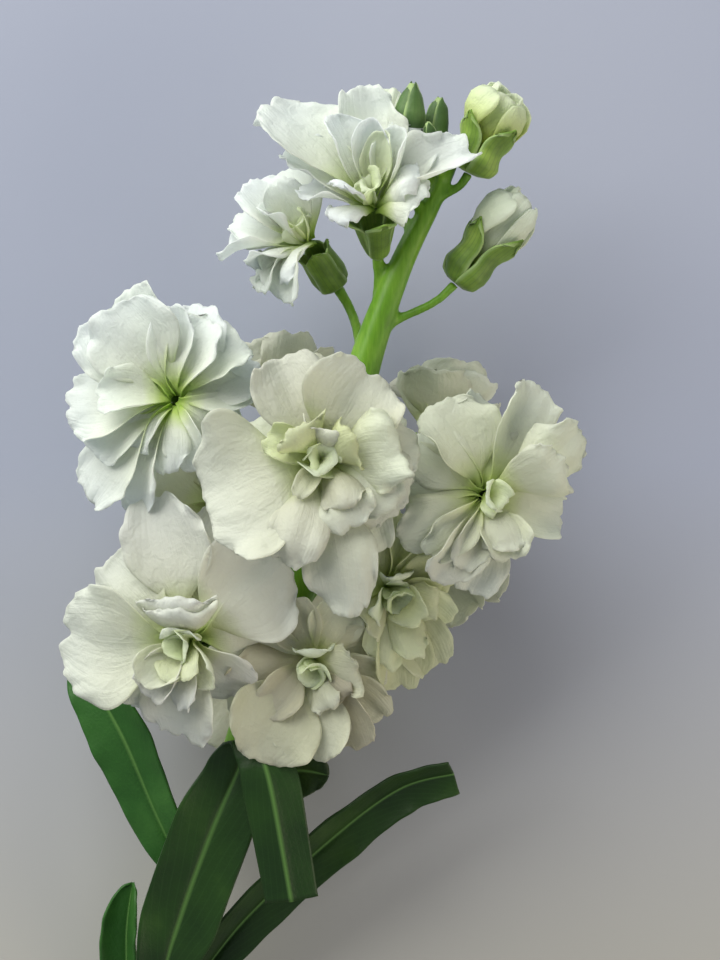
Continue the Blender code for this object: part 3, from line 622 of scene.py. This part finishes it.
skin = add_node(tree, "BsdfPrincipled", Base_Color=colour, Roughness=0.42, IOR=1.32,
                Normal=bump.outputs[0], Sheen_Weight=0.05, Sheen_Roughness=0.4,
                Sheen_Tint=linear("#a9c19a"))
tree.links.new(skin.outputs[0], output.inputs["Surface"])

# How far each leaf is mixed towards the darker ramp.
LEAF_DARKENING = {"arch": 0.7, "right": 0.8, "left": 0.0, "low": 0.1, "round": 0.9}
for name, leaf in LEAVES.items():
    bm = new_sheets()
    darkening_layer = bm.verts.layers.float.new("darkening")
    rows = min(16 * len(leaf.midrib), 120)
    for vert in add_sheet(bm, 24, rows, leaf_place(leaf, name)):
        vert[darkening_layer] = LEAF_DARKENING[name]
    blade_piece = add_piece("leaf_blade_" + name, bm, leaf_skin, "leaf", "leaf_" + name)
    thicken(blade_piece, "blade thickness", 0.55)


# A calyx is four narrow sepals that stand together in a cup, two of them pouched at the foot.
# They are thin, pale green and downy, and lie over each other at their edges.
CALYX_RADIUS = 3.3


def add_sepals(bm, base, axis, length, radius, profile, tips, spread, flare, seed):
    """Four sepals round an axis. Profile gives the radius along them, spread their half angle."""
    chance = random.Random(seed)
    heights, wides = zip(*profile)
    first, second = (np.array(direction) for direction in frame_of(axis))
    line = np.array(axis)
    for sepal in range(4):
        turn = math.pi / 2 * sepal + chance.uniform(-0.06, 0.06)
        outer = sepal % 2
        reach = length + tips * chance.uniform(0.75, 1.15)
        phase = chance.uniform(0, 2 * math.pi)

        def place(across, along):
            low = np.minimum(along / 0.8, 1.0)
            tip = np.clip((along - 0.8) / 0.2, 0, 1)
            taper = np.sqrt(np.maximum(1 - tip ** 2 * 0.98, 0))
            height = low * length * 0.8
            height = height + (reach - length * 0.8) * tip * np.sqrt(1 - across ** 2 / 2)
            share = height / length
            wide = np.interp(share, heights, wides) * radius
            angle = turn + across * np.radians(np.interp(share, (0.1, 0.6), (51.0, spread))) * taper
            pouch = (0.10 if outer else 0.02) * radius * np.exp(-((share - 0.12) / 0.16) ** 2)
            keel = 0.09 * radius * (1 - across ** 2) * np.sin(math.pi * np.clip(share, 0, 1)) ** 0.7
            ripple = 0.05 * radius * np.sin(9 * share + phase) * across ** 2
            outside = 0.18 if outer else 0.0
            out = wide + pouch + keel + ripple + outside + flare * radius * tip ** 2
            ring = np.outer(np.cos(angle), first) + np.outer(np.sin(angle), second)
            return np.array(base) + np.outer(height, line) + ring * out[:, None]

        add_sheet(bm, 12, 22, place)


tree, output, sepal_skin = new_material("downy sepal")
coords = add_node(tree, "TexCoord")
uv = add_node(tree, "SeparateXYZ", Vector=coords.outputs["UV"])
centred = sums(tree, "SUBTRACT", uv.outputs["X"], 0.5)
aside = sums(tree, "ABSOLUTE", centred)
edge = add_node(tree, "MapRange", Value=aside, From_Min=0.36, From_Max=0.5, To_Max=0.8)
patches = add_node(tree, "TexNoise", Vector=coords.outputs["Object"], Scale=160.0, Detail=4.0)
green = add_node(tree, "ValToRGB", Fac=patches.outputs["Fac"], stops=(
    (0.3, "#4a651c"), (0.52, "#6a8a2e"), (0.72, "#92ac4c")))
stripes = sums(tree, "COSINE", sums(tree, "MULTIPLY", centred, 44.0))
striped = add_node(tree, "MapRange", Value=stripes, From_Min=0.5, To_Max=0.3)
pale = mixed(tree, striped.outputs[0], green.outputs["Color"], linear("#3b5729"))
colour = mixed(tree, edge.outputs[0], pale, linear("#9fb877"))
down = add_node(tree, "TexNoise", Vector=coords.outputs["Object"], Scale=1900.0, Detail=2.0)
bump = add_node(tree, "Bump", Height=down.outputs["Fac"], Strength=0.35, Distance=0.0002)
skin = add_node(tree, "BsdfPrincipled", Base_Color=colour, Roughness=0.55, IOR=1.42,
                Normal=bump.outputs[0], Sheen_Weight=0.2, Sheen_Tint=linear("#c9dab0"),
                Subsurface_Weight=0.15, Subsurface_Radius=(0.4, 0.8, 0.2), Subsurface_Scale=MM)
tree.links.new(skin.outputs[0], output.inputs["Surface"])

# The top bloom's sepals spread, and the others stand in a close cup.
CUP_PROFILE = (
    (0.0, 0.30), (0.05, 0.62), (0.12, 0.88), (0.35, 1.0), (0.8, 0.9), (1.0, 0.94), (1.3, 1.0))
SPREAD_PROFILE = ((0.0, 0.30), (0.1, 0.52), (0.4, 0.8), (0.8, 1.1), (1.0, 1.3), (1.4, 1.6))
for name, bloom in BLOOMS.items():
    bm = new_sheets()
    shape = (SPREAD_PROFILE, 2.5, 42.0, 0.7) if name == "top" else (CUP_PROFILE, 0.6, 50.0, 0.12)
    add_sepals(bm, calyx_base(bloom), unit(bloom.facing), CALYX_LENGTH - 1.0, CALYX_RADIUS * 1.02,
               *shape, "sepals " + name)
    cup = add_piece("sepals_" + name, bm, sepal_skin, "sepal", "calyx_" + name)
    thicken(cup, "sepal thickness", 0.4)


# Each bloom is a double rosette: broad petals spread below, smaller crumpled ones fill the middle,
# and all stand on narrow green claws inside the calyx. They are thin, soft and let light through.
CLEARANCE = 0.62
BEND_OVER = 2.6
LAP = 7.0  # how far petals lie over the room of the next bloom's
CLAW_WIDTH = 1.5
ROLL = 14.0
OVERLAP = 1.7
CORE_RADIUS = 2.0
CORE_TOP = 1.8
BROADEST = 0.6
RIB_STEPS = 40

# Where two neighbours share the room between them otherwise than halfway: a point on their
# border, and the way from it into the first one's room.
BORDERS = {
    ("centre", "left"): ((-24.0, 12.0, 52.0), (0.72, -0.5, 0.48)),
    ("centre", "bottom"): ((-4.0, -23.5, 50.0), (0.0, 0.72, 0.69)),
    ("centre", "lower_right"): ((6.0, -14.0, 46.0), (-0.35, 0.5, 0.79)),
    ("lower_left", "bottom"): ((-17.3, -31.7, 44.0), (-0.66, 0.66, 0.36)),
    ("bottom", "lower_right"): ((4.5, -34.0, 40.0), (-0.85, -0.3, 0.42)),
    ("left", "lower_left"): ((-39.0, -4.0, 44.0), (-0.3, 0.75, -0.59)),
}

# A bloom that has no petals of its own above has rings of them, in its own frame: how many, how
# far out and how far up their tips are, and their width, curl and cup.
RINGS = (
    (5, 18.5, 6.0, 18.0, 20.0, 20.0),
    (2, 9.0, 11.0, 12.0, 20.0, 30.0),
)


def head_of(bloom):
    return Vector(bloom.centre) + unit(bloom.facing) * 5.0


def capsules():
    """The stem, the stalks, the calyces and the buds, each as two ends and a radius."""
    found = []
    for lower, upper in zip(STEM, STEM[1:]):
        found.append((Vector(lower[:3]), Vector(upper[:3]), lower[3]))
    for bloom in BLOOMS.values():
        facing = unit(bloom.facing)
        base = calyx_base(bloom)
        line = stalk_points(bloom.leaves_stem, base, facing)
        found += [(lower, upper, STALK_RADIUS) for lower, upper in zip(line, line[1:])]
        found.append((base + facing * 3.0, Vector(bloom.centre) - facing * 4.0, 3.7))
    for bud in (CLOSED_BUDS | OPEN_BUDS).values():
        base, facing, _ = run_of(bud)
        line = stalk_points(bud.leaves_stem, base, facing)
        found += [(lower, upper, STALK_RADIUS) for lower, upper in zip(line, line[1:])]
        inset = facing * bud.radius
        found.append((base + inset, Vector(bud.tip) - inset, bud.radius + 0.4))
    return found


def room_of(name):
    """The room that a bloom's petals have, as planes: a point on each and the way into the room."""
    bloom = BLOOMS[name]
    head = head_of(bloom)
    planes = [(Vector((0, 0, 0.31 - CLEARANCE)), Vector((0, 0, 1)))]
    for other_name, other in BLOOMS.items():
        if other_name == name:
            continue
        if (name, other_name) in BORDERS:
            origin, inward = BORDERS[name, other_name]
        elif (other_name, name) in BORDERS:
            origin, inward = BORDERS[other_name, name]
            inward = -Vector(inward)
        else:
            away = head - head_of(other)
            origin = head - away * bloom.weight / (bloom.weight + other.weight)
            inward = (away.x, away.y, away.z * OVERLAP)
        planes.append((Vector(origin) - unit(inward) * LAP, unit(inward)))
    return [(np.array(origin), np.array(inward)) for origin, inward in planes]


RODS = [(np.array(start), np.array(end), radius) for start, end, radius in capsules()]


def bend_clear(points, planes, hold):
    """Bend points back into their room, and round the stem and the stalks."""
    moved = points.copy()
    for _ in range(4):
        for origin, inward in planes:
            depth = (moved - origin) @ inward - CLEARANCE
            eased = BEND_OVER * np.exp(np.minimum(depth - BEND_OVER, 0.0) / BEND_OVER)
            moved += np.outer(np.where(depth < BEND_OVER, eased - depth, 0.0), inward)
        for start, end, radius in RODS:
            run = end - start
            share = np.clip((moved - start) @ run / (run @ run), 0, 1)
            away = moved - start - np.outer(share, run)
            distance = np.maximum(np.linalg.norm(away, axis=1), 0.1)
            moved += away * (np.maximum(radius + 0.4 - distance, 0) / distance)[:, None]
    return points + (moved - points) * hold[:, None]


def uneven(first, second, third):
    """Smooth noise of about -1 to 1."""
    return np.array([noise.noise((x, y, third)) for x, y in zip(first, second)]) * 1.6


def petal_place(root, tip, axis, petal, seed, planes, frill=1.0):
    """Where each point of a petal goes, as a function of across and along."""
    chance = random.Random(seed)
    phases = [chance.uniform(0, 2 * math.pi) for _ in range(4)]
    sway = chance.uniform(-1.0, 1.0)
    drift = chance.uniform(0, 500)
    notch = chance.uniform(0.0, 0.06)
    crease = chance.uniform(-0.02, 0.02)
    crease_at = chance.uniform(-0.5, 0.5)
    pleat = petal.width * chance.uniform(0.015, 0.045)
    pleats = chance.uniform(3.5, 8.0)
    roll_side = chance.choice((-1, 1))
    roll_edge = chance.uniform(-0.1, 0.06)
    span = tip - root
    neck = 0.04 + 0.01 * max(span.length - 16.0, 0.0)
    outward = (span - axis * span.dot(axis)).normalized()
    side = axis.cross(outward)
    climb = min(max(0.55 + 0.055 * span.dot(axis), 0.15), 1.3)
    opening = (axis * climb + outward).normalized()
    closing = Matrix.Rotation(math.radians(petal.curl), 3, side) @ span.normalized()
    pull = span.length * 0.36
    pulls = root + opening * pull, tip - closing * pull
    rib = interpolate_bezier(root, *pulls, tip, RIB_STEPS + 1)
    laterals, ups = [], []
    for index in range(RIB_STEPS + 1):
        tangent = (rib[min(index + 1, RIB_STEPS)] - rib[max(index - 1, 0)]).normalized()
        turned = math.radians(ROLL / 2 + petal.twist * index / RIB_STEPS)
        turn = Matrix.Rotation(turned, 3, tangent)
        laterals.append(turn @ side)
        ups.append(turn @ tangent.cross(side))

    def place(across, along):
        beyond = np.clip((along - BROADEST) / (1 - BROADEST), 0, 1)
        wide = across * np.sqrt(1 - beyond ** 2 / 2)
        reach = np.where(along < BROADEST, along,
                         BROADEST + (1 - BROADEST) * beyond * np.sqrt(1 - across ** 2 / 2))
        reach = reach - notch * beyond ** 2 * np.exp(-(across / 0.16) ** 2)
        grow = np.clip((along - neck) / (BROADEST - neck), 0, 1)
        claw = CLAW_WIDTH / 2
        half = claw + (petal.width / 2 - claw) * np.sin(math.pi / 2 * grow) ** 1.4
        margin = np.clip(wide ** 2 + beyond ** 2 * 0.9, 0, 1.3) * grow
        stand = math.radians(max(petal.cup, -25)) * np.abs(wide)
        ripple = np.sin(phases[0] + 5.5 * along) * wide * wide
        ripple += np.sin(phases[1] + 2.6 * wide) * along ** 3 * 0.8
        lift = half * np.abs(wide) * np.sin(stand) + ripple * petal.width * 0.075
        swing = np.arctan2(wide, reach - 0.25)
        ahead = reach * span.length
        aside = half * wide
        broad = uneven(aside / 6.5, ahead / 7.5, drift)
        lift += frill * (0.25 + margin) * 0.75 * broad * grow
        fine = uneven(aside / 2.6, ahead / 3.4, drift + 9)
        lift += frill * (0.12 + margin ** 2) * 0.6 * fine * grow
        rim = uneven(swing * petal.width / 2.4, margin * 1.5, drift + 17)
        lift += frill * margin ** 3 * 0.42 * rim * grow
        lift += pleat * np.sin(pleats * wide + phases[2]) * grow * along * (1 - 0.4 * margin)
        lift += crease * petal.width * np.exp(-((wide - crease_at) / 0.16) ** 2) * grow
        rolled = np.clip(roll_side * wide - 0.55, 0, 1) ** 2
        lift += petal.width * roll_edge * rolled * 3 * grow
        shift = half * wide * np.cos(stand)
        shift += sway * petal.width * 0.06 * np.sin(math.pi * along)
        scallop = uneven(swing * 2.2, margin, drift + 31)
        scallop += 0.4 * uneven(swing * 6, margin, drift + 37)
        reach = np.clip(reach + 0.03 * margin ** 2 * scallop, 0, 1)
        points = pick(rib, reach) + pick(laterals, reach) * shift[:, None]
        points += pick(ups, reach) * lift[:, None]
        return bend_clear(points, planes, np.minimum(along * 2.5, 1.0))

    return place


def petal_tips(bloom, petals, rings):
    """Petals of a bloom with the point that each tip reaches. Without petals, rings give them."""
    centre = Vector(bloom.centre)
    axis = unit(bloom.facing)
    found = []
    for petal in petals:
        clock = math.radians(petal.clock)
        reach = Vector((math.cos(clock), math.sin(clock), 0)) * petal.reach
        found.append((petal, centre + reach + Vector((0, 0, petal.rise))))
    if not petals:
        for ring, (count, reach, rise, width, curl, cup) in enumerate(rings):
            for index in range(count):
                turn = 2 * math.pi * (index + 0.5 * ring) / count + (0.4 if rings is RINGS else 1.0)
                tip = centre + around(axis, turn) * reach + axis * rise
                found.append((Petal(0, reach, rise, width, curl, cup), tip))
    return found


def roots_of(bloom, tips):
    """Where each petal stands on the core: evenly spread, in the order of the tips around it."""
    centre = Vector(bloom.centre)
    axis = unit(bloom.facing)
    first, second = frame_of(axis)
    tiers = ([], [])
    for index, (_, tip) in enumerate(tips):
        offset = tip - centre
        turn = math.atan2(offset.dot(second), offset.dot(first))
        out = (offset - axis * offset.dot(axis)).length
        tiers[0 if out > 11.5 else 1].append((turn, index))
    roots = {}
    for tier, members in enumerate(tiers):
        members.sort()
        count = len(members)
        spread = [turn - 2 * math.pi * place / count for place, (turn, _) in enumerate(members)]
        start = math.atan2(sum(map(math.sin, spread)), sum(map(math.cos, spread)))
        for place, (_, index) in enumerate(members):
            turn = start + 2 * math.pi * place / count
            out = CORE_RADIUS - (0.75 if tier == 0 else 1.3)
            up = 0.75 if tier == 0 else CORE_TOP - 0.5
            roots[index] = centre + around(axis, turn) * out + axis * up
    return roots


# Fresh petals: matt to satin, almost white, cream then green towards the claw, with a fan of faint
# veins. Light passes through them, so the shaded side stays warm.
tree, output, petal_skin = new_material("fresh white petal")
coords = add_node(tree, "TexCoord")
uv = add_node(tree, "SeparateXYZ", Vector=coords.outputs["UV"])
patches = add_node(tree, "TexNoise", Vector=coords.outputs["Object"], Scale=140.0, Detail=3.0)
shifted = sums(tree, "MULTIPLY_ADD", patches.outputs["Fac"], 0.16, uv.outputs["Y"])
white = add_node(tree, "ValToRGB", Fac=shifted, stops=(
    (0.1, "#9cc23e"), (0.2, "#c9de80"), (0.32, "#e4edc6"), (0.48, "#eff2ea"), (0.95, "#f1f5f5")))
tint = add_node(tree, "Attribute", settings={"attribute_name": "tint"})
young = add_node(tree, "ValToRGB", Fac=tint.outputs["Fac"], stops=(
    (0.4, "#e0ee92"), (0.9, "#c6d648")))
fresh = mixed(tree, tint.outputs["Fac"], white.outputs["Color"], young.outputs["Color"])
# Painted shade: this attribute mixes the petals towards a dusky warm grey that stands for the shade
# they lie in, most on the lower blooms.
darkening = add_node(tree, "Attribute", settings={"attribute_name": "darkening"})
colour = mixed(tree, darkening.outputs["Fac"], fresh, linear("#beb49c"))
spread = add_node(tree, "Mapping", Vector=coords.outputs["UV"], Scale=(26.0, 2.6, 1.0))
fan = add_node(tree, "TexNoise", Vector=spread.outputs[0], Scale=1.0, Detail=3.0, Distortion=0.4)
grain = add_node(tree, "TexNoise", Vector=coords.outputs["Object"], Scale=1300.0, Detail=3.0)
crinkle = add_node(tree, "TexNoise", Vector=coords.outputs["Object"], Scale=330.0, Detail=3.0,
                   Distortion=0.6)
crinkled = sums(tree, "MULTIPLY_ADD", crinkle.outputs["Fac"], 2.2, fan.outputs["Fac"])
height = sums(tree, "MULTIPLY_ADD", grain.outputs["Fac"], 0.5, crinkled)
bump = add_node(tree, "Bump", Height=height, Strength=0.36, Distance=0.0006)
skin = add_node(tree, "BsdfPrincipled", Base_Color=colour, Roughness=0.5, IOR=1.4,
                Normal=bump.outputs[0], Sheen_Weight=0.1)
through = add_node(tree, "BsdfTranslucent", Color=colour, Normal=bump.outputs[0])
both = add_node(tree, "MixShader", _0=0.5, _1=skin.outputs[0], _2=through.outputs[0])
tree.links.new(both.outputs[0], output.inputs["Surface"])

# A double bloom has far more petals than the solid part shows. These fill each bloom out, and the
# three small tables below give how many petals crowd its middle, how green they are and how much
# painted shade darkens them.
MORE_PETALS = {
    "centre": (
        Petal(120, 8, 9, 13, 95, -30, 0, 0.25), Petal(6, 15.5, 7.5, 17, 65, -20),
        Petal(88, 20.5, -3, 15, 10), Petal(-32, 18.5, 3, 18, 55, -20),
        Petal(-66, 14, 7, 14, 70, -25), Petal(30, 7.5, 9.5, 11, 80, -20, 0, 0.4),
        Petal(157, 11.5, 4, 8, 30, 30, 0, 0.3), Petal(236, 8, 7, 5, 50, 30, 0, 0.1),
        Petal(-108, 20.5, 7, 10, 60, -35), Petal(35, 18, -3, 15, 15),
        Petal(-60, 21, -2, 13, 20), Petal(160, 16, -2, 14, 15),
        Petal(235, 17, -2, 14, 20),
    ),
    "left": (
        Petal(124, 22.5, 2.5, 20, 5, 15), Petal(66, 17, 4.5, 15, 10, 20),
        Petal(28, 17, -2, 16, 15), Petal(-66, 14, 4, 10, 20, 30),
        Petal(-32, 13, -1, 13, 30), Petal(200, 20.5, -4, 17, 15),
        Petal(75, 20, -2, 16, 10), Petal(229, 12.5, 2, 11, 30, 20),
    ),
    "right": (
        Petal(24, 17, 9, 15, 80, -30), Petal(45, 18, -3, 12, 10),
        Petal(92, 20.5, -3, 14, 10), Petal(-62, 12, 6, 10, 45, -20),
        Petal(-42, 12, -4, 10, 15), Petal(225, 15.5, 5, 9, 30, 30),
        Petal(185, 15, 0, 12, 15), Petal(250, 14.5, 4, 8, 20, 35),
        Petal(140, 17, -2, 13, 10), Petal(285, 13, -2, 10, 15),
    ),
    "lower_left": (
        Petal(78, 26, -8, 17, 10), Petal(142, 23, -4, 18, 15),
        Petal(205, 20.5, -3, 15, 15), Petal(15, 18, -3, 15, 10),
        Petal(104, 9, 9, 18, 75, -25),
        Petal(222, 12, 7.5, 11, -10, 35, 0, 0.2), Petal(302, 10, 7.5, 9, -10, 35, 0, 0.2),
        Petal(262, 8, 8, 9, 40, 10, 0, 0.3),
    ),
    "bottom": (
        Petal(215, 20, -3, 15, 10), Petal(252, 19, -3, 15, 10),
        Petal(-82, 18, -1, 13, 15), Petal(-22, 15, -2, 13, 15),
        Petal(12, 13, -1, 12, 20), Petal(60, 13, 2, 12, 20, 20),
        Petal(160, 14, 2, 11, 20, 20), Petal(290, 10.5, 6, 8, 60, -30),
        Petal(-42, 10, 7, 8, 60, -30),
    ),
    "lower_right": (
        Petal(120, 14, 1, 12, 20, 20), Petal(150, 11.5, 1, 11, 20, 20),
        Petal(97, 13, 4, 10, 40, -20), Petal(230, 14, 0, 11, 20),
        Petal(-65, 15, 4, 9, 50, -40), Petal(-92, 15.5, 3, 9, 50, -40),
        Petal(-20, 12, 4, 9, 50, -40), Petal(48, 13, 1, 11, 30, 20),
    ),
    "top": (
        Petal(112, 23, -5, 18, 0), Petal(60, 20, -2, 12, 5),
        Petal(168, 15, 1, 10, 20, 20), Petal(84, 14, 7, 9, -20, 45, 0, 0.3),
        Petal(2, 9.5, 8.5, 12.5, 85, -30), Petal(205, 8.5, 7.5, 8, 60, -25),
    ),
    "upper_left": (
        Petal(160, 17, -3, 13, 15), Petal(120, 14, 4, 10, 20, 25),
        Petal(222, 14, 2, 11, 20, 20), Petal(200, 13, 5, 9, 40, -20),
    ),
    "upper_back_left": (
        Petal(90, 19, 4, 15, 10, 25), Petal(140, 16, 4, 13, 10, 25),
        Petal(30, 14, 0, 12, 15), Petal(75, 15, -10, 14, 10),
        Petal(120, 15, -10, 14, 10),
    ),
    "upper_back_right": (
        Petal(65, 17, 5, 15, 10, 25), Petal(110, 15, 2, 14, 10, 25),
        Petal(20, 15, 0, 12, 15), Petal(75, 15, -10, 14, 10),
        Petal(30, 15, -10, 14, 10),
    ),
}
INNER_PETALS = {
    "left": 0, "top": 3, "upper_left": 3, "centre": 3, "right": 2, "lower_left": 4, "bottom": 4}
# How green each bloom's petals are: partly their own green, and on the lower blooms partly painted
# light, the yellowish light that reaches them through petals in shade.
BLOOM_GREEN_AND_SHADE_TINTS = {
    "left": 0.0, "top": 0.0, "upper_left": 0.0, "lower_left": 0.02, "lower_right": 0.4,
    "bottom": 0.2}
# Painted shade on each bloom: the share of dusky warm grey in its petals' colour, greatest on the
# lower blooms.
BLOOM_PAINTED_SHADE = {
    "left": 0.0, "top": 0.0, "upper_left": 0.0, "right": 0.16, "lower_left": 0.22, "bottom": 0.5}
MORE_RINGS = ((5, 16.0, 7.5, 14.0, 15.0, 20.0), (4, 11.0, 10.0, 10.0, 25.0, 20.0))

for name, bloom in BLOOMS.items():
    bm = new_sheets()
    tints = bm.verts.layers.float.new("tint")
    darkening_layer = bm.verts.layers.float.new("darkening")
    chance = random.Random("bloom " + name)
    centre = Vector(bloom.centre)
    axis = unit(bloom.facing)
    planes = room_of(name)
    tips = petal_tips(bloom, bloom.petals, RINGS)
    tips += petal_tips(bloom, MORE_PETALS.get(name, ()), MORE_RINGS)
    roots = roots_of(bloom, tips)
    cell = 0.72 if name in MORE_PETALS and "back" not in name else 1.1
    for index, (petal, tip) in enumerate(tips):
        # Thin soft petals may lie over each other, so none has to be a narrow ray.
        petal = petal._replace(width=max(petal.width, min(0.62 * petal.reach, 15.0)))
        frill = 1.7 if petal.curl > 50 or petal.cup < 0 else 1.0
        root = roots[index]
        # The broadest ones lie flatter, so that their edges don't stand up through a neighbour.
        if petal.width > 16.0:
            petal = petal._replace(cup=min(petal.cup, 14.0))
        # A petal that is added behind the others is flatter and stands lower, clear of them.
        if index >= len(bloom.petals) and petal.rise < 1.0:
            petal = petal._replace(cup=-6.0)
            root = root - axis * 0.6
        length = (tip - root).length
        columns = 2 * max(5, round(petal.width / cell / 2))
        rows = max(10, round(length / cell))
        verts = add_sheet(bm, columns, rows, petal_place(
            root, tip, axis, petal, f"{name} {index}", planes, frill))
        # The tint is the petal's own green plus its bloom's, which on the lower blooms is partly
        # painted yellowish shade light.
        shade = chance.uniform(0.0, 0.1) + petal.tint + BLOOM_GREEN_AND_SHADE_TINTS.get(name, 0.12)
        # Each petal's painted shade varies a little about its bloom's value.
        painted_shade = chance.uniform(0.5, 1.5) * BLOOM_PAINTED_SHADE.get(name, 0.24)
        for vert in verts:
            vert[tints] = shade
            vert[darkening_layer] = painted_shade
    # The small inner petals crowd the middle, each curled its own way. The first three are inmost
    # and fold right over it.
    for index in range(INNER_PETALS.get(name, 7)):
        turn = 2.4 * index + chance.uniform(-0.3, 0.3)
        inmost = index < 3
        out = chance.uniform(2.0, 3.4) if inmost else chance.uniform(4.0, 6.5)
        rise = chance.uniform(5.8, 7.0) if inmost else chance.uniform(6.8, 7.6) - 0.3 * index
        width = chance.uniform(7.0, 8.5) if inmost else chance.uniform(7.5, 9.5)
        root = centre + around(axis, turn) * chance.uniform(0.2, 0.9) + axis * (CORE_TOP - 0.8)
        swing = chance.uniform(2.2, 3.4) if inmost else chance.uniform(-0.4, 0.4)
        tip = centre + around(axis, turn + swing) * out + axis * rise
        curl = chance.uniform(30, 80) if inmost else chance.uniform(50, 100)
        cup = chance.uniform(10, 40) if inmost else chance.uniform(-25, 20)
        petal = Petal(0, out, rise, width, curl, cup, chance.uniform(-25, 25))
        verts = add_sheet(bm, 10, 12, petal_place(
            root, tip, axis, petal, f"{name} inner {index}", planes))
        shade = chance.uniform(0.25, 0.5) if inmost else chance.uniform(0.1, 0.3)
        for vert in verts:
            vert[tints] = shade
    rosette = add_piece("rosette_" + name, bm, petal_skin, "petal", "petals_" + name)
    thicken(rosette, "petal thickness", 0.2)


# The closed buds are four sepals pressed together edge to edge over the folded petals. They are a
# darker, duller green than the calyces below.
bud_skin = sepal_skin.copy()
bud_skin.name = "tight bud sepal"
for element, code in zip(bud_skin.node_tree.nodes["Color Ramp"].color_ramp.elements, (
        "#2a461b", "#41612a", "#5f7d43")):
    element.color = linear(code)
BUD_PROFILE = (
    (0.0, 0.30), (0.06, 0.72), (0.3, 0.98), (0.6, 0.88), (0.85, 0.58), (0.97, 0.25), (1.1, 0.05))
for name, bud in CLOSED_BUDS.items():
    bm = new_sheets()
    base, facing, length = run_of(bud)
    add_sepals(bm, base, facing, length * 0.97, bud.radius, BUD_PROFILE, length * 0.03, 50.0, 0.0,
               "bud " + name)
    steps = BUD_PROFILE[:-1]
    places = [(base + facing * length * share, bud.radius * wide * 0.9) for share, wide in steps]
    add_tube(bm, places, 16)
    closed = add_piece("closed_bud_" + name, bm, bud_skin, "sepal", "bud_" + name)
    thicken(closed, "sepal thickness", 0.3)


# The half-open buds: white petals, still wrapped round each other, push the sepals apart.
OPEN_PROFILE = ((0.0, 0.36), (0.08, 0.72), (0.35, 0.98), (0.8, 0.92), (1.0, 1.0), (1.5, 1.2))
WRAP_PROFILE = (
    (0.0, 0.3), (0.3, 0.6), (0.5, 1.0), (0.7, 1.25), (0.86, 1.2), (0.96, 0.92), (1.04, 0.45))
for name, bud in OPEN_BUDS.items():
    base, facing, length = run_of(bud)
    bm = new_sheets()
    add_sepals(bm, base, facing, length * 0.42, bud.radius * 0.86, OPEN_PROFILE, length * 0.26,
               40.0, 0.3, "open " + name)
    cup = add_piece("bud_cup_" + name, bm, sepal_skin, "sepal", "bud_sepals_" + name)
    thicken(cup, "sepal thickness", 0.4)

    bm = new_sheets()
    tints = bm.verts.layers.float.new("tint")
    chance = random.Random("wrapped " + name)
    heights, wides = zip(*WRAP_PROFILE)
    first, second = (np.array(direction) for direction in frame_of(facing))
    for petal in range(7):
        turn = 2.4 * petal
        inside = 1.0 - 0.09 * petal
        top = length * (1.0 + 0.012 * petal) * chance.uniform(0.93, 1.03)
        phases = [chance.uniform(0, 2 * math.pi) for _ in range(3)]

        def place(across, along):
            wide = across * np.sqrt(1 - np.clip((along - 0.6) / 0.4, 0, 1) ** 2 / 2)
            share = 0.22 + 0.78 * along - 0.05 * along * across ** 2
            angle = turn + wide * 1.25 * (0.4 + 0.6 * along) + 0.5 * along
            out = np.interp(share, heights, wides) * bud.radius * inside
            out = out * (1 + 0.07 * np.sin(4.2 * wide + phases[0]) * along)
            out = out + 0.35 * np.sin(9 * wide + phases[1]) * along ** 4 + 0.3 * along ** 6
            ring = np.outer(np.cos(angle), first) + np.outer(np.sin(angle), second)
            return np.array(base) + np.outer(share * top, np.array(facing)) + ring * out[:, None]

        for vert in add_sheet(bm, 18, 18, place):
            share = (vert.co - base).dot(facing) / length
            vert[tints] = 1.4 - 1.1 * share if name == "yellow" else 0.2
    wrapped = add_piece("wrapped_petals_" + name, bm, petal_skin, "petal", "bud_petals_" + name)
    thicken(wrapped, "petal thickness", 0.25)
